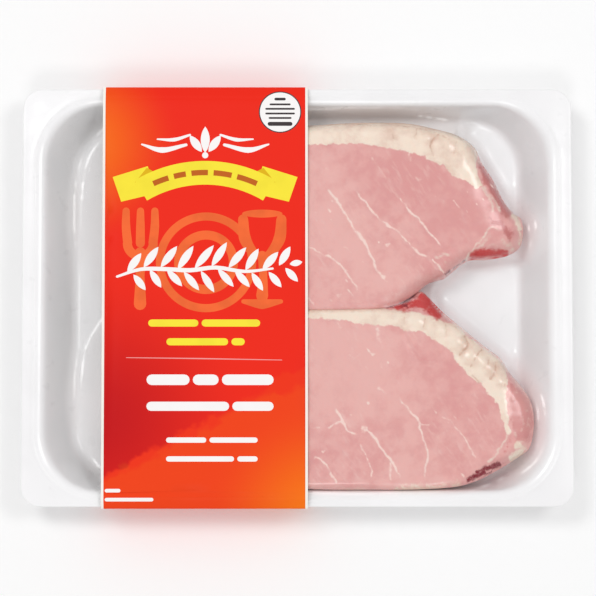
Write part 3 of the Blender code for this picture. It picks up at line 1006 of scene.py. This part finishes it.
def film_grid(step):
    """Points and quads over the rim's outline, with the corner points drawn onto its arcs."""
    columns = int(round(2 * HALF_LENGTH / step))
    rows = int(round(2 * HALF_WIDTH / step))
    x, y = np.meshgrid(np.linspace(-HALF_LENGTH, HALF_LENGTH, columns + 1),
                       np.linspace(-HALF_WIDTH, HALF_WIDTH, rows + 1))
    x, y = x.ravel(), y.ravel()
    over_x = np.abs(x) - (HALF_LENGTH - RIM_RADIUS)
    over_y = np.abs(y) - (HALF_WIDTH - RIM_RADIUS)
    reach = np.hypot(np.maximum(over_x, 0), np.maximum(over_y, 0))
    outside = (over_x > 0) & (over_y > 0) & (reach > RIM_RADIUS)
    pull = RIM_RADIUS / np.maximum(reach, 1e-9)
    snapped_x = np.where(outside, np.sign(x) * (HALF_LENGTH - RIM_RADIUS + over_x * pull), x)
    snapped_y = np.where(outside, np.sign(y) * (HALF_WIDTH - RIM_RADIUS + over_y * pull), y)
    faces = []
    for row in range(rows):
        for column in range(columns):
            corner = row * (columns + 1) + column
            face = (corner, corner + 1, corner + columns + 2, corner + columns + 1)
            if not all(outside[k] for k in face):
                faces.append(face)
    used = sorted({k for face in faces for k in face})
    index = {k: n for n, k in enumerate(used)}
    faces = [tuple(index[k] for k in face) for face in faces]
    return snapped_x[used], snapped_y[used], faces


def make_film(settings, tray, chops):
    """Film drawn down over the chops and the tray."""
    xs, ys, drawn = drawn_heights(settings, tray, chops)
    x, y, faces = film_grid(settings.spacing / MM)
    points = np.column_stack([x, y, sampled(drawn, xs, ys, x, y) + FILM_LIFT])
    film = mesh_object("skin_film_clear", points, faces, [clear_film(settings)],
                       crease=SOFT_CREASE)
    wall = film.modifiers.new("film", "SOLIDIFY")
    wall.thickness = settings.thickness
    wall.offset = 1.0
    settle(film, SOFT_CREASE)
    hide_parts("skin_film")
    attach(film, BODY)
    return film


# ---------------------------------------------------------------- sleeve


class SleeveSettings(bpy.types.PropertyGroup):
    board: size_property("Board", "Thickness of the board", 0.5)
    margin: size_property("Margin", "Width of bare board along each cut edge", 1.05)
    fold: size_property("Fold", "Reach of each rounded fold", 0.9)
    field: colour_property("Field", "Main red of the print", (241, 41, 22))
    field_orange: colour_property("Orange field", "Orange end of the print's shading",
                                  (252, 125, 14))
    field_crimson: colour_property("Crimson field", "Dark part of the print", (199, 17, 22))
    art: colour_property("Art", "Orange ink of the tableware drawing", (250, 109, 54))
    yellow: colour_property("Yellow", "Yellow ink of the ribbon and the small bars",
                            (252, 232, 60))
    gold: colour_property("Gold", "Deeper ink of the ribbon's folds", (228, 182, 24))
    brown: colour_property("Brown", "Ink of the dashes along the ribbon", (196, 100, 30))
    white: colour_property("White", "White ink", (252, 249, 248))
    grey: colour_property("Grey", "Grey ink of the round mark and the back panel", (66, 58, 60))
    bare: colour_property("Bare board", "Unprinted board", (250, 248, 240))


# ------------------------------------------------ shapes of the print, in millimetres

# Middle of the sleeve's face along the tray
MIDDLE = -38.5

# The inks in the order of the sleeve's materials. Bare board also faces the cut edges and inside.
INKS = ("field", "art", "yellow", "gold", "brown", "white", "rule", "grey", "bare")


def disc(x, y, radius, squash=1.0, steps=56):
    """A round or squashed disc."""
    turn = np.linspace(0, 2 * math.pi, steps, endpoint=False)
    return np.column_stack([x + radius * np.cos(turn), y + radius * squash * np.sin(turn)])


def bar(x0, x1, y, height):
    """A level bar with round ends."""
    radius = min(height, x1 - x0) / 2
    turn = np.linspace(-math.pi / 2, math.pi / 2, 7)
    right = np.column_stack([x1 - radius + radius * np.cos(turn), y + height / 2 * np.sin(turn)])
    left = np.column_stack([x0 + radius - radius * np.cos(turn), y - height / 2 * np.sin(turn)])
    return np.vstack([right, left])


def stroke(points, widths, steps=10):
    """A brush stroke through points, whose width changes along it, with round ends."""
    line = smooth_path(points, steps=steps)
    size = np.interp(np.linspace(0, 1, len(line)), np.linspace(0, 1, len(widths)), widths) / 2
    run = np.gradient(line, axis=0)
    run /= np.linalg.norm(run, axis=1)[:, None]
    out = np.column_stack([-run[:, 1], run[:, 0]])
    cap = np.linspace(0, math.pi, 7)[1:-1]
    end = [line[-1] + size[-1] * (math.cos(a) * out[-1] + math.sin(a) * run[-1]) for a in cap]
    start = [line[0] - size[0] * (math.cos(a) * out[0] + math.sin(a) * run[0]) for a in cap]
    return np.vstack([line + out * size[:, None], end, (line - out * size[:, None])[::-1], start])


def leaf(x, y, length, width, angle):
    """A pointed leaf that starts at a point and runs off at an angle in degrees."""
    t = np.linspace(0, 1, 9)
    side = width / 2 * np.sin(math.pi * t) ** 0.8
    along = np.concatenate([t, t[-2:0:-1]]) * length
    across = np.concatenate([side, -side[-2:0:-1]])
    turn = math.radians(angle)
    return np.column_stack([x + along * math.cos(turn) - across * math.sin(turn),
                            y + along * math.sin(turn) + across * math.cos(turn)])


def dashes(ink, x0, x1, y, height, pattern, gap=1.3):
    """A row of bars that fills the span, with widths in the proportions of the pattern."""
    room = (x1 - x0) - gap * (len(pattern) - 1)
    start = x0
    for share in pattern:
        width = room * share / sum(pattern)
        yield ink, bar(start, start + width, y, height)
        start += width + gap


def arc(x, y, radius, start, end, steps=18):
    turn = np.radians(np.linspace(start, end, steps))
    return np.column_stack([x + radius * np.cos(turn), y + radius * np.sin(turn)])


def arched_band(x, y, radius, start, end, thickness, steps=24):
    """A band that follows an arc, with straight ends."""
    outer = arc(x, y, radius + thickness / 2, start, end, steps)
    inner = arc(x, y, radius - thickness / 2, end, start, steps)
    return np.vstack([outer, inner])


def ribbon_shapes():
    """An arched ribbon with straight-cut tails and a row of dashes along it."""
    for side in (-1, 1):
        yield "yellow", np.array([(MIDDLE + side * 24, 55.4), (MIDDLE + side * 38.6, 50.8),
                                  (MIDDLE + side * 35.0, 40.4), (MIDDLE + side * 20, 44)])
        yield "gold", np.array([(MIDDLE + side * 24.4, 54.7), (MIDDLE + side * 21, 52.8),
                                (MIDDLE + side * 29.4, 48.4)])
    yield "yellow", arched_band(MIDDLE, 0.6, 52, 121, 59, 10)
    start = 114.5
    for share in (7.4, 5.6, 7.6, 8.4, 9.6):
        yield "brown", arched_band(MIDDLE, 0.6, 52.1, start, start - share, 2.3, 6)
        start -= share + 2.6


def tableware_shapes():
    """A plain fork, a plate with two rings and a stemmed glass."""
    for x in (-71.4, -65.4, -59.4):
        yield "art", stroke([(x, 36.5), (x, 30), (x + (-65.4 - x) * 0.12, 23)], [3.0, 3.6, 3.8])
    yield "art", arched_band(-65.4, 23, 5.4, 180, 360, 3.8)
    yield "art", stroke([(-65.4, 19), (-65.4, 9), (-65.4, -2.4)], [4.6, 3.6, 5.2])
    for radius, thickness in ((19.2, 3.4), (11.4, 3.8)):
        for start in (90, 270):
            yield "art", arched_band(-38, 15, radius, start, start - 180, thickness, 40)
    for side in (-1, 1):
        yield "art", stroke([(-14.6 + side * 8, 33), (-14.6 + side * 7.2, 25),
                             (-14.6 + side * 3.6, 19), (-14.6, 17)], [4.2, 5.0, 3.8, 2.4])
    yield "art", disc(-14.6, 35.4, 8.4, squash=0.2)
    yield "art", stroke([(-14.6, 18), (-14.2, 9), (-14.6, 1)], [3.6, 3.4, 5.0])
    yield "art", stroke([(-22.4, -1.4), (-14.6, -2.4), (-6.8, -1.4)], [1.8, 4.4, 1.8])


def sprig_shapes():
    """A white herb sprig across the front, its stem arched and its leaves in pairs."""
    stem = smooth_path([(-75, 9), (-62, 12.6), (-48, 11.4), (-34, 12.8), (-18, 11), (-2.6, 14.4)])
    yield "white", stroke(stem[::6], [1.0, 1.7, 1.8, 1.6, 0.9], steps=4)
    along = lengths_along(stem)
    for k, share in enumerate(np.linspace(0.06, 0.93, 10)):
        x, y = respaced(stem, [share * along[-1]])[0]
        size = 12.6 - 7.0 * abs(share - 0.45)
        yield "white", leaf(x, y + 0.5, size, 3.3, 54 + 6 * math.sin(3 * k))
        yield "white", leaf(x + 2.6, y - 0.5, size * 0.84, 3.0, -52 - 6 * math.sin(2 * k))
    yield "white", leaf(-3.2, 14.2, 5.4, 2.6, 10)


def crest_shapes():
    """A plain white crest over the ribbon: a leaf pair, a bead and two tapering lines."""
    for side in (-1, 1):
        yield "white", stroke([(MIDDLE + side * 26.5, 64.6), (MIDDLE + side * 18, 62.2),
                               (MIDDLE + side * 8, 64.4)], [0.7, 2.4, 1.2])
        yield "white", stroke([(MIDDLE + side * 20, 66.8), (MIDDLE + side * 13, 66.6),
                               (MIDDLE + side * 6.4, 68.6)], [0.6, 1.6, 0.9])
        yield "white", leaf(MIDDLE + side * 1.4, 61.4, 8.6, 3.4, 90 - side * 36)
    yield "white", leaf(MIDDLE, 61, 11.2, 3.8, 90)
    yield "white", disc(MIDDLE, 60, 1.3, steps=20)


def label_shapes():
    """Dashes and bars in place of lettering, and the round mark."""
    yield from dashes("yellow", -62, -15.4, -10.4, 3.0, (6, 7))
    yield from dashes("yellow", -54.4, -21.8, -18.2, 3.0, (11, 2.4))
    yield "rule", stroke([(-71, -24.8), (-40, -25.2), (-6.4, -25.8)], [0.3, 0.5, 0.3])
    yield from dashes("white", -62.6, -9.8, -34, 4.4, (5, 3, 6))
    yield from dashes("white", -62.6, -9.8, -45, 3.8, (6, 3))
    yield from dashes("white", -54.4, -16.4, -59, 2.2, (5, 6))
    yield from dashes("white", -54.4, -16.4, -66.8, 2.2, (10, 3))
    yield "white", bar(-79.8, -73.2, -79.9, 1.5)
    yield "white", bar(-79.8, -59.6, -83.6, 1.5)
    x, y = -7.2, 78.4
    yield "grey", disc(x, y, 8.9)
    yield "white", disc(x, y, 8.45)
    for level, half, height in ((83.9, 2.4, 1.2), (81.6, 4.4, 0.8), (79.7, 6.2, 0.8),
                                (77.7, 6.2, 0.8), (75.8, 4.8, 0.8), (73.3, 5.2, 1.7)):
        yield "grey", bar(x - half, x + half, level, height)


def back_shapes():
    """A white panel with level grey bars, on the half of the base where the board starts."""
    yield "white", rounded_ring(33, 29, 3, 6) + np.array([MIDDLE, 41.0])
    for k, (half, height) in enumerate([(24, 2.4), (27, 1.0), (27, 1.0), (22, 1.0), (27, 1.0),
                                        (25, 1.0), (27, 1.0), (16, 1.0)]):
        yield "grey", bar(MIDDLE - half, MIDDLE + half - 3 * (k % 3), 63.4 - 6.4 * k, height)


# The sleeve's section: the base's edge in y, then the heights where each side starts to stand
# upright, stops, and meets the crowned face, and how far in that last fold lies
BASE_EDGE = 79.5
WALL_TOP, EAVE_TOP, SHOULDER_Z = 17.0, 19.9, 21.6
SHOULDER_RUN = 4.0


def sleeve_loop(fold):
    """The sleeve's outer section as (y, z), once round from the middle of the base."""
    top, edge = SLEEVE_HIGH.z, SLEEVE_HIGH.y
    shoulder_y, shoulder_z = edge - SHOULDER_RUN, SHOULDER_Z
    corners = [(BASE_EDGE, 0.0), (edge, WALL_TOP), (edge, EAVE_TOP), (shoulder_y, shoulder_z)]
    half = [(0.0, 0.0)]
    for k, corner in enumerate(corners):
        before = corners[k - 1] if k else (0.0, 0.0)
        after = corners[k + 1] if k + 1 < len(corners) else (edge - 14.0, 22.45)
        corner, before, after = (np.asarray(p, float) for p in (corner, before, after))
        start = corner + (before - corner) / np.linalg.norm(before - corner) * fold
        end = corner + (after - corner) / np.linalg.norm(after - corner) * fold
        for t in np.linspace(0, 1, 5):
            half.append(tuple((1 - t) ** 2 * start + 2 * t * (1 - t) * corner + t * t * end))
    for turn in np.linspace(0.0, math.pi / 2, 28)[4:]:
        half.append((shoulder_y * math.cos(turn),
                     shoulder_z + (top - shoulder_z) * math.sin(turn)))
    mirrored = [(-y, z) for y, z in half[-2:0:-1]]
    return np.asarray(half + mirrored + [half[0]])


# How far the front's print sits below the places given for its shapes
PRINT_SHIFT = 1.0
# Spacing of the points that let the board curve between the print's edges
BOARD_STEP = 4.0
# The sleeve's left edge droops where nothing stands under it: width and depth of the droop
DROOP_RUN, DROOP_DEPTH = 6.5, 1.5


def print_polygons(settings, loop, along):
    """Every printed shape in the flat board's own coordinates, with its ink, lowest first."""
    upper = loop[:, 1] > WALL_TOP + 2.0
    order = np.argsort(loop[upper, 0])
    front_y, front_s = loop[upper, 0][order], along[upper][order]
    total = along[-1]
    margin = settings.margin / MM
    left, right = SLEEVE_LOW.x, SLEEVE_HIGH.x
    sheet = [np.array([(left, 0), (right, 0), (right, total), (left, total)])]
    inks = ["field"]
    shapes = [*tableware_shapes(), *ribbon_shapes(), *crest_shapes(), *sprig_shapes(),
              *label_shapes()]
    for ink, shape in shapes:
        s = np.interp(shape[:, 1] - PRINT_SHIFT, front_y, front_s)
        sheet.append(np.column_stack([shape[:, 0], s]))
        inks.append(ink)
    for ink, shape in back_shapes():
        sheet.append(shape)
        inks.append(ink)
    for start, end in ((left, left + margin), (right - margin, right)):
        sheet.append(np.array([(start, 0), (end, 0), (end, total), (start, total)]))
        inks.append("bare")
    return sheet, inks


def signed_area(polygon):
    """Area of a polygon, above 0 where its points run anticlockwise."""
    x, y = polygon.T
    return 0.5 * float(np.sum(x * np.roll(y, -1) - np.roll(x, -1) * y))


def flat_board(settings, loop, along):
    """The flat board cut into triangles along the print's edges, and each triangle's ink."""
    sheet, inks = print_polygons(settings, loop, along)
    points, rings, edges = [], [], []
    for polygon in sheet:
        if signed_area(polygon) < 0:
            polygon = polygon[::-1]
        start = len(points)
        points += [Vector(p) for p in polygon]
        rings.append(list(range(start, len(points))))
    left, right = SLEEVE_LOW.x, SLEEVE_HIGH.x
    turning = np.abs(np.diff(np.unwrap(np.arctan2(*np.diff(loop, axis=0).T[::-1]))))
    for k in np.nonzero(turning > 0.04)[0] + 1:
        start = len(points)
        points += [Vector((left, along[k])), Vector((right, along[k]))]
        edges.append((start, start + 1))
    for s in np.arange(3.0, along[-1], BOARD_STEP):
        points += [Vector((x, s)) for x in np.arange(left + 2.5, right - 1, BOARD_STEP)]
    flat, _, triangles, _, _, sources = delaunay_2d_cdt(points, edges, rings, 1, 1e-6)
    ink = [INKS.index(inks[max(source)]) if source else 0 for source in sources]
    return np.array(flat), [tuple(t) for t in triangles], ink


def make_sleeve(settings):
    """The board sleeve: the flat printed board wrapped round its section and thickened."""
    loop = sleeve_loop(settings.fold / MM)
    along = lengths_along(loop)
    flat, triangles, ink = flat_board(settings, loop, along)
    x, s = flat.T
    y = np.interp(s, along, loop[:, 0])
    z = np.interp(s, along, loop[:, 1])
    droop = ramp(SLEEVE_LOW.x + DROOP_RUN - x, 0.0, 9.0)
    droop = droop * ramp(z, 21.0, 22.5) * ramp(36 - y, 0, 16)
    z = z - DROOP_DEPTH * droop
    outward = [triangle[::-1] for triangle in triangles]
    sleeve = mesh_object("board_sleeve", np.column_stack([x, y, z]), outward,
                         sleeve_inks(settings), ink)
    weld = sleeve.modifiers.new("glued seam", "WELD")
    weld.merge_threshold = 0.01 * MM
    thicken(sleeve, settings.board / MM, rim_slot=len(INKS), inner_slot=len(INKS))
    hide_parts("sleeve")
    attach(sleeve, BODY)
    return sleeve


def coated_board(name):
    """Coated board: smooth with a faint gloss that is not quite even."""
    finish = Finish(name, Specular_IOR_Level=0.12)
    finish.gloss(14, 0.4, 0.52)
    finish.bump(finish.noise(0.9, detail=2), 0.012, strength=0.35)
    return finish


def plain_ink(name, colour, wear=0.05):
    """Flat ink or bare board, a little duller in soft patches."""
    finish = coated_board(name)
    cloud = finish.remap(finish.noise(9, detail=3), 0.4, 0.7)
    finish.coat(finish.mix(cloud, rgba(colour), dimmed(colour, 1 - wear)))
    return finish.material


def away(finish, place, x, y, reach, power=1.0):
    """A glow that is 1 at a point of the sleeve's face and fades to 0 at a reach, in mm."""
    centre = (x * MM, y * MM, 0.0)
    flat = finish.node("VectorMath", {0: place, 1: (1.0, 1.0, 0.0)}, operation="MULTIPLY")
    gap = finish.node("VectorMath", {0: flat, 1: centre}, output=1, operation="DISTANCE")
    fade = finish.remap(gap, 0.0, reach * MM, 1.0, 0.0)
    return finish.math("POWER", fade, power)


def beside(finish, x, y, start, end, soft):
    """A soft-edged field: 1 on the left of the line from start to end, in mm."""
    run = np.subtract(end, start) / np.linalg.norm(np.subtract(end, start))
    across = (-run[1], run[0])
    offset = -(start[0] * across[0] + start[1] * across[1]) * MM
    total = finish.math("ADD", finish.math("MULTIPLY", x, across[0]),
                        finish.math("MULTIPLY", y, across[1]))
    wander = finish.remap(finish.noise(9, detail=3), 0.3, 0.7, -2.2 * MM, 2.2 * MM)
    gap = finish.math("ADD", finish.math("ADD", total, offset), wander)
    return finish.remap(gap, -soft * MM, soft * MM)


def field_print(settings):
    """The red field, shaded to orange at two corners and to crimson at one side."""
    finish = coated_board("print_field")
    place = finish.place()
    x = finish.node("SeparateXYZ", {0: place}, output=0)
    y = finish.node("SeparateXYZ", {0: place}, output=1)
    orange, crimson = rgba(settings.field_orange), rgba(settings.field_crimson)
    sweep = beside(finish, x, y, (-82, -77), (-38, -52), 1.6)
    low = finish.math("MULTIPLY", finish.math("SUBTRACT", 1.0, sweep), 0.07)
    colour = finish.mix(low, rgba(settings.field), orange)
    dark = finish.math("MULTIPLY", sweep, away(finish, place, -82, -52, 64, 0.9))
    colour = finish.mix(dark, colour, crimson)
    band = finish.math("MULTIPLY", beside(finish, x, y, (6, -34), (-30, -51.5), 1.6), 0.13)
    colour = finish.mix(band, colour, orange)
    colour = finish.mix(away(finish, place, 12, -94, 52, 1.15), colour, orange)
    glow = finish.math("MULTIPLY", away(finish, place, -92, 64, 44, 1.0), 0.8)
    colour = finish.mix(glow, colour, orange)
    finish.coat(colour)
    return finish.material


def sleeve_inks(settings):
    """A material for each ink, in the order of INKS."""
    rule = [0.35 * a + 0.65 * b for a, b in zip(settings.white, settings.field)]
    return [
        field_print(settings),
        plain_ink("print_art", settings.art, 0.12),
        plain_ink("print_yellow", settings.yellow),
        plain_ink("print_gold", settings.gold),
        plain_ink("print_brown", settings.brown),
        plain_ink("print_white", settings.white, 0.02),
        plain_ink("print_rule", rule),
        plain_ink("print_grey", settings.grey),
        plain_ink("bare_board", settings.bare, 0.04),
    ]


# ---------------------------------------------------------------- stage


def power_property(name, description, watts):
    return bpy.props.FloatProperty(
        name=name, description=description, default=watts, min=0.0, unit="POWER",
    )


class StageSettings(bpy.types.PropertyGroup):
    floor_size: size_property("Floor size", "Length of the floor's sides", 6000)
    floor: colour_property("Floor", "Colour of the floor", (255, 255, 255))
    elevation: bpy.props.FloatProperty(
        name="Elevation", description="Height of the camera above the horizon",
        default=math.radians(85.0), subtype="ANGLE",
    )
    distance: size_property("Distance", "Distance from the camera to the pack", 1200)
    field_width: size_property("Field width", "Width of the view at the pack", 249.0)
    key: power_property("Key", "Power of the main lamp", 5.3)
    fill: power_property("Fill", "Power of the lamp on the right", 4.2)
    front: power_property("Front", "Power of the lamp at the front", 3.0)
    sky: bpy.props.FloatProperty(name="Sky", description="Strength of the light all round",
                                 default=0.61, min=0.0)


# Where the lamps stand, in metres, and the width of each
LAMPS = {"key": (-0.62, 0.52, 1.5), "fill": (0.76, 0.3, 1.5), "front": (-0.1, -0.86, 1.5)}
LAMP_SIZE = 0.5
# What the camera and the lamps point at, in metres
AIM = (0.0003, -0.0005, FLANGE_Z * MM)
SENSOR_WIDTH = 36.0


def aim(obj, target):
    """Turns a camera or a lamp to face a point."""
    obj.rotation_euler = (Vector(target) - obj.location).to_track_quat("-Z", "Y").to_euler()


def soft_lamp(name, place, power):
    """A round white lamp that faces the pack."""
    lamp = bpy.data.lights.new(name, "AREA")
    lamp.shape = "DISK"
    lamp.size = LAMP_SIZE
    lamp.energy = power
    obj = bpy.data.objects.new(name, lamp)
    bpy.context.scene.collection.objects.link(obj)
    obj.location = place
    aim(obj, AIM)


def make_stage(settings):
    """The floor, the camera, the lamps and the light all round."""
    half = settings.floor_size / MM / 2
    floor = mesh_object("floor", [(-half, -half, 0), (half, -half, 0), (half, half, 0),
                                  (-half, half, 0)], [(0, 1, 2, 3)], [studio_floor(settings)])
    floor.location.z = -0.0002
    floor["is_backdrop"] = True
    camera = bpy.data.objects.new("camera", bpy.data.cameras.new("camera"))
    bpy.context.scene.collection.objects.link(camera)
    camera.data.sensor_width = SENSOR_WIDTH
    camera.data.lens = SENSOR_WIDTH * settings.distance / settings.field_width
    camera.data.clip_end = 20.0
    rise = settings.elevation
    back = Vector((0, -math.cos(rise), math.sin(rise)))
    camera.location = Vector(AIM) + settings.distance * back
    aim(camera, AIM)
    bpy.context.scene.camera = camera
    for name, place in LAMPS.items():
        soft_lamp(f"{name}_lamp", place, getattr(settings, name))
    world = bpy.data.worlds.new("studio")
    world.use_nodes = True
    background = world.node_tree.nodes["Background"]
    background.inputs["Color"].default_value = (1, 1, 1, 1)
    background.inputs["Strength"].default_value = settings.sky
    bpy.context.scene.world = world
    bpy.context.scene.view_settings.view_transform = "Standard"


def studio_floor(settings):
    """Plain matt floor, very slightly uneven in tone."""
    finish = Finish("studio_floor", Roughness=0.8)
    finish.coat(finish.mix(finish.noise(400, detail=1), rgba(settings.floor),
                           dimmed(settings.floor, 0.985)))
    return finish.material


# ---------------------------------------------------------------- operators and panel


class TRAYPACK_OT_tray(bpy.types.Operator):
    """Make the white formed tray"""

    bl_idname = "traypack.tray"
    bl_label = "Make Tray"

    def execute(self, context):
        make_tray(context.scene.traypack_tray)
        return {"FINISHED"}


class TRAYPACK_OT_chops(bpy.types.Operator):
    """Make the two raw chops"""

    bl_idname = "traypack.chops"
    bl_label = "Make Chops"

    def execute(self, context):
        settings = context.scene.traypack_meat
        material = raw_meat(settings)
        make_chop("chop_upper", settings, material, 11)
        make_chop("chop_lower", settings, material, 711)
        return {"FINISHED"}


class TRAYPACK_OT_film(bpy.types.Operator):
    """Draw the clear film down over the chops and the tray"""

    bl_idname = "traypack.film"
    bl_label = "Make Film"

    def execute(self, context):
        names = ("formed_tray", "pork_chop_upper", "pork_chop_lower")
        needed = [bpy.data.objects.get(name) for name in names]
        if None in needed:
            raise RuntimeError("the film needs the tray and both chops")
        make_film(context.scene.traypack_film, needed[0], needed[1:])
        return {"FINISHED"}


class TRAYPACK_OT_sleeve(bpy.types.Operator):
    """Make the printed board sleeve"""

    bl_idname = "traypack.sleeve"
    bl_label = "Make Sleeve"

    def execute(self, context):
        make_sleeve(context.scene.traypack_sleeve)
        return {"FINISHED"}


class TRAYPACK_OT_stage(bpy.types.Operator):
    """Make the floor, the lamps and the camera"""

    bl_idname = "traypack.stage"
    bl_label = "Make Stage"

    def execute(self, context):
        make_stage(context.scene.traypack_stage)
        return {"FINISHED"}


class TRAYPACK_PT_panel(bpy.types.Panel):
    """Lists the pieces of the tray pack"""

    bl_idname = "TRAYPACK_PT_panel"
    bl_label = "Tray Pack"
    bl_space_type = "VIEW_3D"
    bl_region_type = "UI"
    bl_category = "Tray Pack"

    def draw(self, context):
        for operator in OPERATORS:
            self.layout.operator(operator.bl_idname)


SETTINGS = {
    "traypack_tray": TraySettings,
    "traypack_meat": MeatSettings,
    "traypack_film": FilmSettings,
    "traypack_sleeve": SleeveSettings,
    "traypack_stage": StageSettings,
}
OPERATORS = (
    TRAYPACK_OT_stage,
    TRAYPACK_OT_tray,
    TRAYPACK_OT_chops,
    TRAYPACK_OT_film,
    TRAYPACK_OT_sleeve,
)
CLASSES = (*SETTINGS.values(), *OPERATORS, TRAYPACK_PT_panel)


def register():
    for cls in CLASSES:
        bpy.utils.register_class(cls)
    for name, group in SETTINGS.items():
        setattr(bpy.types.Scene, name, bpy.props.PointerProperty(type=group))


def unregister():
    for name in SETTINGS:
        delattr(bpy.types.Scene, name)
    for cls in reversed(CLASSES):
        bpy.utils.unregister_class(cls)


def main():
    register()
    bpy.ops.traypack.stage()
    bpy.ops.traypack.tray()
    bpy.ops.traypack.chops()
    bpy.ops.traypack.film()
    bpy.ops.traypack.sleeve()
    boxes = {"cad": CAD_BOX, "visual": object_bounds()}
    {name: [list(corner) for corner in box] for name, box in boxes.items()}


if __name__ == "__main__":
    main()
